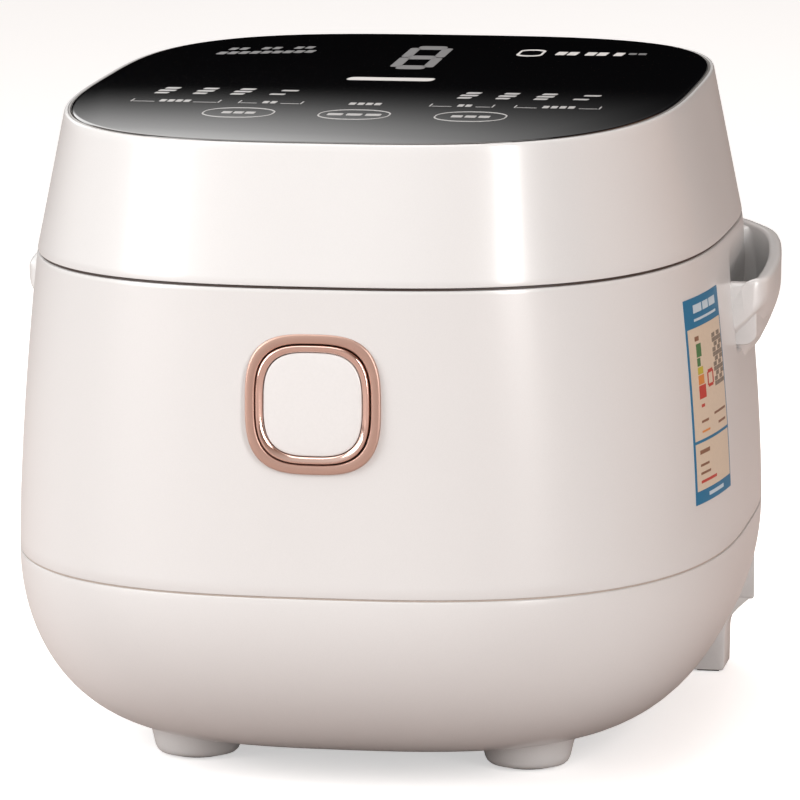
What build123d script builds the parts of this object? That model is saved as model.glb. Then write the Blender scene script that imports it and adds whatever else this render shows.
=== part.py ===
from build123d import *
from math import atan, cos, pi, radians, sin
import os

# A rice cooker: a rounded casing on four feet, a hinged lid under a touch glass, a front release button
# and a lift-out pot. Millimetres. +Z is up, Z=0 is the surface it stands on, and the front faces -Y.
# The pot's axis is the Z axis.

# ---- Driving dimensions ----
PLAN_POINTS = 40                # points on each plan curve
PLAN_Y = 10.2                   # the casing is widest along this line
CASING_POWERS = (2.84, 3.07)    # roundness of the plan's front and rear corners
GLASS_POWERS = (3.06, 3.25)
BASE_SEAM_Z = 80.9
LID_SEAM_Z = 195.2
BASE_SEAM_GAP = 0.8
LID_SEAM_GAP = 1.0
BASE_SIZE = (138.7, 188.6, 171.1)     # half width, front depth and rear depth at the base seam
LID_SEAM_SIZE = (130.1, 190.6, 161.8)
GLASS_SIZE = (118.3, 179.9, 147.2)
GLASS_Z = 251.2                 # height of the glass edge above the pot's axis
GLASS_SLOPE = 0.029             # the lid rises this much for each millimetre towards the rear
LEAN_POWER = 1.6                # how the casing's side curves in between the seams
WALL = 2.6                      # moulded casing wall

BOWL_DEPTH = 72.0               # base seam down to the flat underside
BOWL_PULL = (55.6, 88.3, 62.0)  # how far the sides, front and rear draw in on the way down
BOWL_POWER = 2.04
HOUSING_Y = PLAN_Y + 98         # the base's upright rear housing starts here
HOUSING_BOTTOM = 31.0
HOUSING_STEP = 0.25             # the housing stands this far proud of the bowl
FRONT_FOOT = (64.0, PLAN_Y - 87)
REAR_FOOT_X = (104.0, 118.5)
REAR_FOOT_DEPTH = 20.0
PAD_RECESS = 0.8

POT_RADIUS = 110.5
POT_WALL = 2.0
POT_FLANGE_RADIUS = 118.0
POT_BOTTOM = 58.3
POT_TOP = 192.0
POT_CORNER = 30.0
WELL_RADIUS = 113.5
WELL_BOTTOM = 40.0
DECK_TOP = 190.0
DECK_THICK = 2.5
PLATE_TOP = 58.0
PLATE_BOTTOM = 50.0
PLATE_RADIUS = 84.0
SENSOR_RADIUS = 19.0
SENSOR_HOLE = 20.5

INLET_Z = 56.0
BUTTON_Z = 152.8
BUTTON_TRAVEL = 3.0
BEZEL = (50.0, 51.5)            # outside of the fixed frame, width and height
BEZEL_OPENING = (43.0, 44.5)
RING = (42.0, 43.5)
RING_OPENING = (36.8, 38.4)
CAP = (36.2, 37.8)
LEVER_Z = 174.0                 # height of the latch lever's pin
LEVER_DEPTH = 31.0              # the pin lies this far behind the front face
PIN_RADIUS = 1.5
RUNNING_GAP = 0.06

HINGE_Y = PLAN_Y + 163.6
HINGE_Z = 195.4
HINGE_PIN_RADIUS = 2.0
KNUCKLE_RADIUS = 6.0
KNUCKLE_HALF = 31.6             # half width of the lid's knuckle
EAR_INNER = 32.0
EAR_OUTER = 54.0
HINGE_CLEARANCE = 6.8

VENT_Z = 221.0

HANDLE_OUT = 147.6              # outermost reach of a side handle
HANDLE_FRONT = PLAN_Y - 18
HANDLE_REAR = PLAN_Y + 92
HANDLE_TOP_FRONT = 178.5
HANDLE_TOP_REAR = 189.5
HANDLE_LIP = 5.0
POCKET_FLOOR = 152.0
POCKET_ROOF = 184.0
POCKET_INNER = 121.5

os.makedirs("parts", exist_ok=True)


# ---- Shared shapes ----
def casing_size(z):
    """Half width, front depth and rear depth of the casing at height z, between its two seams."""
    share = max(z - BASE_SEAM_Z, 0) / (LID_SEAM_Z - BASE_SEAM_Z)
    lean = share**LEAN_POWER
    half_width = BASE_SIZE[0] + (LID_SEAM_SIZE[0] - BASE_SIZE[0]) * lean
    front = BASE_SIZE[1] + (LID_SEAM_SIZE[1] - BASE_SIZE[1]) * share
    rear = BASE_SIZE[2] + (LID_SEAM_SIZE[2] - BASE_SIZE[2]) * lean
    return half_width, front, rear


def outline(plane, size, inset=0.0, powers=CASING_POWERS):
    """Face inside a plan curve: a superellipse with its own depth and roundness front and rear."""
    half_width, front, rear = (side - inset for side in size)
    points = []
    for step in range(PLAN_POINTS):
        across = cos(2 * pi * step / PLAN_POINTS)
        along = sin(2 * pi * step / PLAN_POINTS)
        depth, power = (rear, powers[1]) if along > 0 else (front, powers[0])
        spread = abs(across / half_width) ** power + abs(along / depth) ** power
        reach = spread ** (-1 / power)
        points.append((reach * across, PLAN_Y + reach * along))
    with BuildSketch(plane) as face:
        with BuildLine():
            Spline(*points, periodic=True)
        make_face()
    return face.sketch


def casing_sections(heights, inset=0.0):
    """Plan faces of the casing at several heights."""
    return [outline(Plane.XY.offset(z), casing_size(z), inset) for z in heights]


def bowl_sections(inset=0.0, top=BASE_SEAM_Z - BASE_SEAM_GAP / 2):
    """Plan faces of the base bowl, from its seam down to its flat underside."""
    depth = BOWL_DEPTH - inset
    faces = []
    for turn in (0, 18, 34, 48, 60, 71, 81, 90):
        drop = depth * sin(radians(turn)) ** (2 / BOWL_POWER)
        share = 1 - max(cos(radians(turn)), 0.0) ** (2 / BOWL_POWER)
        size = [side - pull * share for side, pull in zip(BASE_SIZE, BOWL_PULL)]
        faces.append(outline(Plane.XY.offset(top - drop), size, inset))
    return faces


def squircle(plane, size, power=3.1, points=28):
    """Face inside a rounded square of the given width and height, centred on the plane."""
    width, height = size
    curve = []
    for step in range(points):
        across = cos(2 * pi * step / points)
        up = sin(2 * pi * step / points)
        reach = (abs(2 * across / width) ** power + abs(2 * up / height) ** power) ** (-1 / power)
        curve.append((reach * across, reach * up))
    with BuildSketch(plane) as face:
        with BuildLine():
            Spline(*curve, periodic=True)
        make_face()
    return face.sketch


def front_y(z):
    """The casing's front face on the centre line."""
    return PLAN_Y - casing_size(z)[1]


def rear_y(z):
    """The casing's rear face on the centre line."""
    return PLAN_Y + casing_size(z)[2]


base_top = BASE_SEAM_Z - BASE_SEAM_GAP / 2
casing_bottom = BASE_SEAM_Z + BASE_SEAM_GAP / 2
casing_top = LID_SEAM_Z - LID_SEAM_GAP / 2
lid_bottom = LID_SEAM_Z + LID_SEAM_GAP / 2
bowl_floor = base_top - BOWL_DEPTH
inlet_y = PLAN_Y + BASE_SIZE[2]

glass_plane = Plane(origin=(0, 0, GLASS_Z), x_dir=(1, 0, 0), z_dir=(0, -GLASS_SLOPE, 1))
button_plane = Plane(origin=(0, front_y(BUTTON_Z), BUTTON_Z), x_dir=(1, 0, 0), z_dir=(0, -1, 0))
lid_rear_top = GLASS_Z + GLASS_SLOPE * (PLAN_Y + GLASS_SIZE[2])
lid_rear_slope = (LID_SEAM_SIZE[2] - GLASS_SIZE[2]) / (lid_rear_top - lid_bottom)
vent_y = PLAN_Y + LID_SEAM_SIZE[2] - lid_rear_slope * (VENT_Z - lid_bottom)
vent_lean = atan(lid_rear_slope)
vent_plane = Plane(
    origin=(0, vent_y, VENT_Z),
    x_dir=(-1, 0, 0),
    z_dir=(0, cos(vent_lean), sin(vent_lean)),
)
hinge_plane = Plane(origin=(0, HINGE_Y, HINGE_Z), x_dir=(0, 1, 0), z_dir=(1, 0, 0))

# ---- Base shell: bowl, upright rear housing, feet, vents and inlet opening ----
screw_places = [(-40, -95), (40, -95), (-40, 80), (40, 80)]
SCREW_POST_TOP = 39.6


def housing_blank(inset, bottom):
    """The upright rear part of the base, smaller all round by inset."""
    with BuildPart() as blank:
        with BuildSketch(Plane.XY.offset(bottom)):
            add(outline(Plane.XY, BASE_SIZE, inset - HOUSING_STEP))
            with Locations((0, HOUSING_Y + inset)):
                Rectangle(400, 200, align=(Align.CENTER, Align.MIN), mode=Mode.INTERSECT)
        extrude(amount=base_top - bottom)
    return blank.part


with BuildPart() as front_foot:
    with BuildSketch(Plane.XZ):
        with BuildLine():
            Line((0, PAD_RECESS), (12.5, PAD_RECESS))
            Spline(
                (12.5, PAD_RECESS),
                (16.6, 4.0),
                (18.0, 10.0),
                (24.0, 19.0),
                tangents=((1, 0), (1, 0.6)),
            )
            Polyline((24.0, 19.0), (24.0, 24.0), (0, 24.0), (0, PAD_RECESS))
        make_face()
    revolve(axis=Axis.Z)

with BuildPart() as rear_foot:
    with BuildSketch(Plane.XZ.offset(-HOUSING_Y)):
        with BuildLine():
            Polyline(
                (REAR_FOOT_X[0], 36),
                (REAR_FOOT_X[0], PAD_RECESS),
                (REAR_FOOT_X[1] - 2, PAD_RECESS),
                (REAR_FOOT_X[1] - 0.3, PAD_RECESS + 1.7),
                (REAR_FOOT_X[1], 17),
            )
            Spline(
                (REAR_FOOT_X[1], 17),
                (REAR_FOOT_X[1] + 3, 26),
                (REAR_FOOT_X[1] + 10.5, 32),
                tangents=((0, 1), (1, 0.25)),
            )
            Polyline((REAR_FOOT_X[1] + 10.5, 32), (REAR_FOOT_X[1] + 10.5, 36), (REAR_FOOT_X[0], 36))
        make_face()
    extrude(amount=-REAR_FOOT_DEPTH)
    with BuildSketch(Plane.XY):
        add(outline(Plane.XY, BASE_SIZE, 0.4))
    extrude(amount=60, mode=Mode.INTERSECT)

with BuildPart() as base_shell:
    loft(bowl_sections())
    add(housing_blank(0, HOUSING_BOTTOM))
    add(rear_foot.part)
    add(mirror(rear_foot.part, about=Plane.YZ, mode=Mode.PRIVATE))
    for side in (-1, 1):
        with Locations((side * FRONT_FOOT[0], FRONT_FOOT[1], 0)):
            add(front_foot.part)
    loft(bowl_sections(WALL), mode=Mode.SUBTRACT)
    add(housing_blank(WALL, HOUSING_BOTTOM + WALL), mode=Mode.SUBTRACT)
    # posts that carry the well, with a screw hole up each
    with BuildSketch(Plane.XY.offset(bowl_floor + 1.4)):
        with Locations(*screw_places):
            Circle(6.5)
    extrude(amount=SCREW_POST_TOP - bowl_floor - 1.4)
    with BuildSketch(Plane.XY.offset(bowl_floor - 5)):
        with Locations(*screw_places):
            Circle(1.9)
    extrude(amount=60, mode=Mode.SUBTRACT)
    with BuildSketch(Plane.XY.offset(bowl_floor - 5)):
        with Locations(*screw_places):
            Circle(4.2)
    extrude(amount=11, mode=Mode.SUBTRACT)
    # cooling slots in the underside
    with BuildSketch(Plane.XY.offset(bowl_floor - 1)):
        with Locations((0, -8)):
            with GridLocations(38, 9, 2, 7):
                SlotOverall(30, 3)
    extrude(amount=WALL + 2, mode=Mode.SUBTRACT)
    # opening for the power inlet
    with BuildSketch(Plane.XZ.offset(-inlet_y - 5)):
        with Locations((0, INLET_Z)):
            Rectangle(31, 23)
    extrude(amount=20, mode=Mode.SUBTRACT)
    with BuildSketch(Plane.XZ.offset(-inlet_y - 5)):
        with Locations((0, INLET_Z)):
            RectangleRounded(38.6, 30.6, 3.3)
    extrude(amount=5 + 1.9, mode=Mode.SUBTRACT)
    # recesses for the rubber pads
    with BuildSketch(Plane.XY):
        for side in (-1, 1):
            with Locations((side * FRONT_FOOT[0], FRONT_FOOT[1])):
                Circle(10.2)
            with Locations((side * (sum(REAR_FOOT_X) / 2), HOUSING_Y + REAR_FOOT_DEPTH / 2)):
                Rectangle(9.4, 13.4)
    extrude(amount=PAD_RECESS + 0.8, mode=Mode.SUBTRACT)
base_shell.part.label = "base_shell"
export_step(base_shell.part, "parts/base_shell.step")

with BuildPart() as foot_pads:
    with BuildSketch(Plane.XY):
        for side in (-1, 1):
            with Locations((side * FRONT_FOOT[0], FRONT_FOOT[1])):
                Circle(10.0)
            with Locations((side * (sum(REAR_FOOT_X) / 2), HOUSING_Y + REAR_FOOT_DEPTH / 2)):
                Rectangle(9.0, 13.0)
    extrude(amount=PAD_RECESS + 0.7)
foot_pads.part.label = "foot_pads"
export_step(foot_pads.part, "parts/foot_pads.step")

with BuildPart() as base_screws:
    with BuildSketch(Plane.XY.offset(bowl_floor + 3)):
        with Locations(*screw_places):
            Circle(3.6)
    extrude(amount=2.8)
    with BuildSketch(Plane.XY.offset(bowl_floor + 5.8)):
        with Locations(*screw_places):
            Circle(1.7)
    extrude(amount=SCREW_POST_TOP + 4.2 - bowl_floor - 5.8)
base_screws.part.label = "base_screws"
export_step(base_screws.part, "parts/base_screws.step")

# ---- Body shell with its two hollow side handles ----
with BuildPart() as handle_blank:
    with BuildSketch(Plane.XY.offset(138)):
        with BuildLine():
            Line((118, HANDLE_REAR), (128.5, HANDLE_REAR))
            Spline(
                (128.5, HANDLE_REAR),
                (141.2, HANDLE_REAR - 25),
                (146.7, HANDLE_REAR - 58),
                (HANDLE_OUT, HANDLE_FRONT + 26),
                (146.6, HANDLE_FRONT + 8),
                (141.0, HANDLE_FRONT),
                tangents=((0.85, -1), (-1, 0)),
            )
            Polyline((141.0, HANDLE_FRONT), (118, HANDLE_FRONT), (118, HANDLE_REAR))
        make_face()
    extrude(amount=60)
    with BuildSketch(Plane.YZ.offset(100)):
        Polygon(
            (HANDLE_FRONT - 5, 130),
            (HANDLE_FRONT - 5, HANDLE_TOP_FRONT - 0.5),
            (HANDLE_REAR + 5, HANDLE_TOP_REAR + 0.5),
            (HANDLE_REAR + 5, 130),
            align=None,
        )
    extrude(amount=80, mode=Mode.INTERSECT)
    with BuildSketch(Plane.XZ.offset(-HANDLE_FRONT + 10)):
        with BuildLine():
            Polyline((110, 200), (155, 200), (155, 176))
            Spline(
                (155, 176),
                (HANDLE_OUT, 170),
                (142.2, 158.5),
                (134, 142.5),
                tangents=((-1, -0.7), (-0.5, -1)),
            )
            Polyline((134, 142.5), (110, 142.5), (110, 200))
        make_face()
    extrude(amount=-140, mode=Mode.INTERSECT)

with BuildPart() as pocket_blank:
    with BuildSketch(Plane.XY.offset(POCKET_FLOOR)) as pocket_sketch:
        with BuildLine():
            Polyline((POCKET_INNER, HANDLE_FRONT + 5), (POCKET_INNER, HANDLE_REAR - 14))
            Line((POCKET_INNER, HANDLE_REAR - 14), (126.5, HANDLE_REAR - 12))
            Spline(
                (126.5, HANDLE_REAR - 12),
                (136.8, HANDLE_REAR - 30),
                (141.6, HANDLE_REAR - 60),
                (HANDLE_OUT - HANDLE_LIP, HANDLE_FRONT + 26),
                (141.4, HANDLE_FRONT + 10),
                (137.0, HANDLE_FRONT + 5),
            )
            Line((137.0, HANDLE_FRONT + 5), (POCKET_INNER, HANDLE_FRONT + 5))
        make_face()
    extrude(amount=POCKET_ROOF - POCKET_FLOOR)

with BuildPart() as rim_blank:
    add(pocket_blank.part.moved(Location((0, 0, 20))))
    with BuildSketch(Plane.XY.offset(POCKET_FLOOR)):
        with Locations((casing_size(POCKET_ROOF)[0] + 0.8, 0)):
            Rectangle(30, 300, align=(Align.MIN, Align.CENTER))
    extrude(amount=80, mode=Mode.INTERSECT)

with BuildPart() as tub_blank:
    with BuildSketch(Plane.XY.offset(POCKET_FLOOR - 2.2)):
        with Locations((POCKET_INNER - 2.2, HANDLE_FRONT + 2.8)):
            Rectangle(12, HANDLE_REAR - HANDLE_FRONT - 14.6, align=(Align.MIN, Align.MIN))
    extrude(amount=POCKET_ROOF - POCKET_FLOOR + 4.4)

with BuildPart() as body_shell:
    loft(casing_sections([casing_bottom, 100, 120, 140, 160, 180, casing_top]))
    add(handle_blank.part)
    add(mirror(handle_blank.part, about=Plane.YZ, mode=Mode.PRIVATE))
    loft(casing_sections([casing_bottom - 1, 100, 120, 140, 160, 180, casing_top + 1], WALL), mode=Mode.SUBTRACT)
    for hollow, mode in ((tub_blank, Mode.ADD), (pocket_blank, Mode.SUBTRACT), (rim_blank, Mode.SUBTRACT)):
        add(hollow.part, mode=mode)
        add(mirror(hollow.part, about=Plane.YZ, mode=Mode.PRIVATE), mode=mode)
    # opening for the release button
    extrude(squircle(button_plane, (BEZEL[0] + 0.3, BEZEL[1] + 0.3)), amount=5, both=True, mode=Mode.SUBTRACT)
    # notch for the lid's knuckle
    with BuildSketch(hinge_plane):
        Circle(HINGE_CLEARANCE)
    extrude(amount=EAR_INNER + 0.2, both=True, mode=Mode.SUBTRACT)
body_shell.part.label = "body_shell"
export_step(body_shell.part, "parts/body_shell.step")

# ---- Plain printed sticker on the right side wall ----
with BuildPart() as side_sticker:
    loft(casing_sections([98, 120, 140, 160, 186], -0.3))
    loft(casing_sections([97, 120, 140, 160, 187], -0.02), mode=Mode.SUBTRACT)
    with BuildSketch(Plane.XY.offset(104)):
        with Locations((100, PLAN_Y - 101)):
            Rectangle(60, 48, align=(Align.MIN, Align.MIN))
    extrude(amount=77, mode=Mode.INTERSECT)
side_sticker.part.label = "side_sticker"
export_step(side_sticker.part, "parts/side_sticker.step")

# ---- Top deck round the pot opening ----
CATCH_Y = front_y(BUTTON_Z) + LEVER_DEPTH + 8
with BuildPart() as top_deck:
    extrude(
        outline(Plane.XY.offset(DECK_TOP - DECK_THICK), casing_size(casing_top), WALL + 0.2),
        amount=casing_top - DECK_TOP + DECK_THICK,
    )
    extrude(
        outline(Plane.XY.offset(DECK_TOP), casing_size(casing_top), WALL + 2.4),
        amount=casing_top - DECK_TOP,
        mode=Mode.SUBTRACT,
    )
    with BuildSketch(Plane.XY.offset(DECK_TOP - 9)):
        Circle(WELL_RADIUS + 3.2)
    extrude(amount=9 - DECK_THICK)
    with BuildSketch(Plane.XY.offset(DECK_TOP - 10)):
        Circle(WELL_RADIUS)
    extrude(amount=20, mode=Mode.SUBTRACT)
    with BuildSketch(Plane.XY.offset(DECK_TOP - 10)):
        Circle(WELL_RADIUS + 1.3)
    extrude(amount=10 - DECK_THICK - 0.6, mode=Mode.SUBTRACT)
    with BuildSketch(Plane.XY.offset(DECK_TOP - 4)):
        with Locations((0, CATCH_Y - 1.8)):
            Rectangle(20, 12)
    extrude(amount=8, mode=Mode.SUBTRACT)
    with BuildSketch(hinge_plane):
        Circle(HINGE_CLEARANCE)
    extrude(amount=EAR_INNER + 0.2, both=True, mode=Mode.SUBTRACT)
top_deck.part.label = "top_deck"
export_step(top_deck.part, "parts/top_deck.step")

# ---- Well, heating plate and what is fixed to them ----
with BuildPart() as pot_well:
    with BuildSketch(Plane.XY.offset(WELL_BOTTOM)):
        Circle(WELL_RADIUS + 1)
    extrude(amount=DECK_TOP - DECK_THICK - 0.8 - WELL_BOTTOM)
    with BuildSketch(Plane.XY.offset(WELL_BOTTOM + 1)):
        Circle(WELL_RADIUS)
    extrude(amount=160, mode=Mode.SUBTRACT)
    with BuildSketch(Plane.XY.offset(WELL_BOTTOM - 1)):
        Circle(26)
        with PolarLocations(62, 2, start_angle=75, angular_range=30, rotate=False):
            Circle(6)
        with Locations(*screw_places):
            Circle(1.8)
    extrude(amount=4, mode=Mode.SUBTRACT)
pot_well.part.label = "pot_well"
export_step(pot_well.part, "parts/pot_well.step")

with BuildPart() as heating_plate:
    with BuildSketch(Plane.XZ):
        Polygon(
            (SENSOR_HOLE, PLATE_BOTTOM),
            (PLATE_RADIUS - 4, PLATE_BOTTOM),
            (PLATE_RADIUS, PLATE_BOTTOM + 3),
            (PLATE_RADIUS, PLATE_TOP - 2),
            (PLATE_RADIUS - 3, PLATE_TOP),
            (SENSOR_HOLE, PLATE_TOP),
            align=None,
        )
    revolve(axis=Axis.Z)
    with BuildSketch(Plane.XY.offset(PLATE_BOTTOM - 3)):
        Circle(67)
        Circle(57, mode=Mode.SUBTRACT)
    extrude(amount=4)
heating_plate.part.label = "heating_plate"
export_step(heating_plate.part, "parts/heating_plate.step")

with BuildPart() as plate_mounts:
    with BuildSketch(Plane.XY.offset(WELL_BOTTOM + 1)):
        with PolarLocations(76, 3, start_angle=30):
            Circle(5)
            Circle(2.2, mode=Mode.SUBTRACT)
    extrude(amount=PLATE_BOTTOM - WELL_BOTTOM - 1)
plate_mounts.part.label = "plate_mounts"
export_step(plate_mounts.part, "parts/plate_mounts.step")

with BuildPart() as heater_terminals:
    with BuildSketch(Plane.XY.offset(WELL_BOTTOM - 12)):
        with PolarLocations(62, 2, start_angle=75, angular_range=30, rotate=False):
            Circle(2.6)
    extrude(amount=PLATE_BOTTOM - 3 - WELL_BOTTOM + 12)
    with BuildSketch(Plane.XY.offset(WELL_BOTTOM - 18)):
        with PolarLocations(62, 2, start_angle=75, angular_range=30, rotate=False):
            Rectangle(6.3, 0.8)
    extrude(amount=6)
heater_terminals.part.label = "heater_terminals"
export_step(heater_terminals.part, "parts/heater_terminals.step")

with BuildPart() as sensor_bracket:
    with BuildSketch(Plane.XY.offset(WELL_BOTTOM - 1.5)):
        Rectangle(80, 16)
        with Locations((-34, 0), (34, 0)):
            Circle(2, mode=Mode.SUBTRACT)
    extrude(amount=1.5)
    with BuildSketch(Plane.XY.offset(WELL_BOTTOM)):
        Circle(5.5)
        Circle(3, mode=Mode.SUBTRACT)
    extrude(amount=3)
sensor_bracket.part.label = "sensor_bracket"
export_step(sensor_bracket.part, "parts/sensor_bracket.step")

with BuildPart() as sensor_cap:
    with BuildSketch(Plane.XY.offset(PLATE_TOP - 13)):
        Circle(SENSOR_RADIUS)
    extrude(amount=13)
    fillet(sensor_cap.faces().sort_by(Axis.Z)[-1].edges(), radius=1.5)
    with BuildSketch(Plane.XY.offset(PLATE_TOP - 13)):
        Circle(SENSOR_RADIUS - 1.2)
    extrude(amount=11.8, mode=Mode.SUBTRACT)
    with BuildSketch(Plane.XY.offset(PLATE_TOP - 12)):
        Circle(2.6)
    extrude(amount=11.5)
sensor_cap.part.label = "sensor_cap"
export_step(sensor_cap.part, "parts/sensor_cap.step")


def coil(radius, wire, height, turns):
    """An open coil spring standing on the XY plane."""
    path = Helix(pitch=(height - wire) / turns, height=height - wire, radius=radius, center=(0, 0, wire / 2))
    with BuildPart() as spring:
        with BuildSketch(Plane(origin=path @ 0, z_dir=path % 0)):
            Circle(wire / 2)
        sweep(path=path, is_frenet=True)
    return spring.part


sensor_coil = coil(8.5, 1.0, PLATE_TOP - WELL_BOTTOM - 1.5, 4)
with BuildPart() as sensor_spring:
    with Locations((0, 0, WELL_BOTTOM + 0.1)):
        add(sensor_coil)
sensor_spring.part.label = "sensor_spring"
export_step(sensor_spring.part, "parts/sensor_spring.step")

with BuildPart() as thermal_fuse:
    with BuildSketch(Plane.XY.offset(66)):
        with Locations((0, -WELL_RADIUS - 4.2)):
            Circle(2.8)
    extrude(amount=26)
    with BuildSketch(Plane.XY.offset(72)):
        with Locations((0, -WELL_RADIUS - 1.5)):
            Rectangle(14, 1)
    extrude(amount=14)
thermal_fuse.part.label = "thermal_fuse"
export_step(thermal_fuse.part, "parts/thermal_fuse.step")

# ---- Power board behind the well ----
BOARD_Y = 140.0
board_plane = Plane.XZ.offset(-BOARD_Y)
with BuildPart() as power_board:
    with BuildSketch(board_plane):
        with Locations((0, 118)):
            Rectangle(130, 62)
            with GridLocations(120, 52, 2, 2):
                Circle(1.7, mode=Mode.SUBTRACT)
    extrude(amount=-1.6)
power_board.part.label = "power_board"
export_step(power_board.part, "parts/power_board.step")

board_face = Plane.XZ.offset(-BOARD_Y - 1.6)
with BuildPart() as transformer:
    with BuildSketch(board_face):
        with Locations((-38, 116)):
            Rectangle(28, 24)
    extrude(amount=-18)
    with BuildSketch(board_face):
        with Locations((-38, 116)):
            Rectangle(14, 30)
    extrude(amount=-14)
transformer.part.label = "transformer"
export_step(transformer.part, "parts/transformer.step")

with BuildPart() as heater_relay:
    with BuildSketch(board_face):
        with Locations((34, 104)):
            Rectangle(29, 13)
    extrude(amount=-16)
    fillet(heater_relay.edges().filter_by(Axis.Y), radius=0.8)
heater_relay.part.label = "heater_relay"
export_step(heater_relay.part, "parts/heater_relay.step")

with BuildPart() as board_capacitors:
    with BuildSketch(board_face):
        with Locations((0, 104), (0, 132), (14, 132)):
            Circle(5)
    extrude(amount=-14)
    with BuildSketch(board_face):
        with Locations((40, 132)):
            Rectangle(18, 7)
    extrude(amount=-11)
board_capacitors.part.label = "board_capacitors"
export_step(board_capacitors.part, "parts/board_capacitors.step")

with BuildPart() as board_brackets:
    for side in (-1, 1):
        with BuildSketch(Plane.XZ.offset(-BOARD_Y + 9)):
            with Locations((side * 60, 92), (side * 60, 144)):
                Circle(3.4)
        extrude(amount=-9)
    with BuildSketch(Plane.XZ.offset(-BOARD_Y + 11)):
        with Locations((-60, 118), (60, 118)):
            Rectangle(10, 70)
    extrude(amount=-2)
    with BuildSketch(Plane.XY.offset(83)):
        with Locations((-60, BOARD_Y - 15), (60, BOARD_Y - 15)):
            Rectangle(10, 12)
    extrude(amount=2)
board_brackets.part.label = "board_brackets"
export_step(board_brackets.part, "parts/board_brackets.step")

# ---- Power inlet ----
inlet_plane = Plane(origin=(0, inlet_y - 0.4, INLET_Z), x_dir=(-1, 0, 0), z_dir=(0, 1, 0))
with BuildPart() as power_inlet:
    with BuildSketch(inlet_plane.offset(-1.4)):
        RectangleRounded(38, 30, 3)
    extrude(amount=1.4)
    with BuildSketch(inlet_plane.offset(-22)):
        Rectangle(30.4, 22.4)
    extrude(amount=21)
    with BuildSketch(inlet_plane.offset(-17)):
        Polygon((-12, -8), (12, -8), (12, 4), (8, 8), (-8, 8), (-12, 4), align=None)
    extrude(amount=20, mode=Mode.SUBTRACT)
    with BuildSketch(inlet_plane.offset(-24)):
        with Locations((-7, -2), (7, -2), (0, 2.5)):
            Rectangle(2, 4.2)
    extrude(amount=10, mode=Mode.SUBTRACT)
power_inlet.part.label = "power_inlet"
export_step(power_inlet.part, "parts/power_inlet.step")

with BuildPart() as inlet_pins:
    with BuildSketch(inlet_plane.offset(-30)):
        with Locations((-7, -2), (7, -2), (0, 2.5)):
            Rectangle(1.9, 4)
    extrude(amount=26)
inlet_pins.part.label = "inlet_pins"
export_step(inlet_pins.part, "parts/inlet_pins.step")

# ---- Wires from the inlet to the board and the heater ----
WIRE_RADIUS = 1.6
wire_routes = {
    "live_wire": [(7, 150, 54), (7, 132, 54), (20, 118, 60), (20, 124, 92)],
    "neutral_wire": [(-7, 150, 54), (-7, 132, 54), (-20, 118, 60), (-20, 124, 92)],
    "heater_wire": [(0, 124, 92), (0, 124, 44), (0, 110, 26), (8, 72, 25)],
}
with BuildPart() as wiring:
    for route in wire_routes.values():
        with BuildLine() as run:
            FilletPolyline(*route, radius=6)
        with BuildSketch(Plane(origin=run.line @ 0, z_dir=run.line % 0)):
            Circle(WIRE_RADIUS)
        sweep(path=run.line)
wiring.part.label = "wiring"
export_step(wiring.part, "parts/wiring.step")

# ---- Release button, its fixed frame and the latch ----
with BuildPart() as button_bezel:
    extrude(squircle(button_plane.offset(-7), BEZEL), amount=8.1)
    extrude(squircle(button_plane.offset(-8), BEZEL_OPENING), amount=12, mode=Mode.SUBTRACT)
button_bezel.part.label = "button_bezel"
export_step(button_bezel.part, "parts/button_bezel.step")

with BuildPart() as button_ring:
    extrude(squircle(button_plane.offset(-6), RING), amount=7.9)
    chamfer(button_ring.faces().sort_by(Axis.Y)[0].edges(), length=1.0)
    extrude(squircle(button_plane.offset(-7), RING_OPENING), amount=12, mode=Mode.SUBTRACT)
button_ring.part.label = "button_ring"
export_step(button_ring.part, "parts/button_ring.step")

with BuildPart() as button_cap:
    extrude(squircle(button_plane.offset(-6), CAP), amount=7.4)
    extrude(squircle(button_plane.offset(-7), (CAP[0] - 4, CAP[1] - 4)), amount=6, mode=Mode.SUBTRACT)
button_cap.part.label = "button_cap"
export_step(button_cap.part, "parts/button_cap.step")

STEM_LENGTH = 17.0
with BuildPart() as button_plunger:
    extrude(squircle(button_plane.offset(-8), (RING[0] - 1, RING[1] - 1)), amount=2)
    with BuildSketch(button_plane.offset(-8)):
        with Locations((0, 3.2)):
            Circle(3.6)
    extrude(amount=-STEM_LENGTH + 2)
    with BuildSketch(button_plane.offset(-8 - STEM_LENGTH + 2)):
        with Locations((0, 3.2)):
            Circle(3.6)
    extrude(amount=-2, taper=40)
button_plunger.part.label = "button_plunger"
export_step(button_plunger.part, "parts/button_plunger.step")

with BuildPart() as button_guide:
    extrude(squircle(button_plane.offset(-18), (BEZEL[0] + 6, BEZEL[1] + 6)), amount=13.6)
    extrude(squircle(button_plane.offset(-16), (BEZEL[0] + 0.3, BEZEL[1] + 0.3)), amount=15, mode=Mode.SUBTRACT)
    with BuildSketch(button_plane.offset(-20)):
        with Locations((0, 3.2)):
            Circle(3.7)
    extrude(amount=8, mode=Mode.SUBTRACT)
    for side in (-1, 1):
        with BuildSketch(button_plane.offset(-LEVER_DEPTH - 5)):
            with Locations((side * 12, LEVER_Z - BUTTON_Z - 1)):
                Rectangle(3, 14)
        extrude(amount=LEVER_DEPTH + 5 - 17)
    with BuildSketch(Plane.YZ):
        with Locations((front_y(BUTTON_Z) + LEVER_DEPTH, LEVER_Z)):
            Circle(PIN_RADIUS + 0.02)
    extrude(amount=16, both=True, mode=Mode.SUBTRACT)
button_guide.part.label = "button_guide"
export_step(button_guide.part, "parts/button_guide.step")

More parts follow.
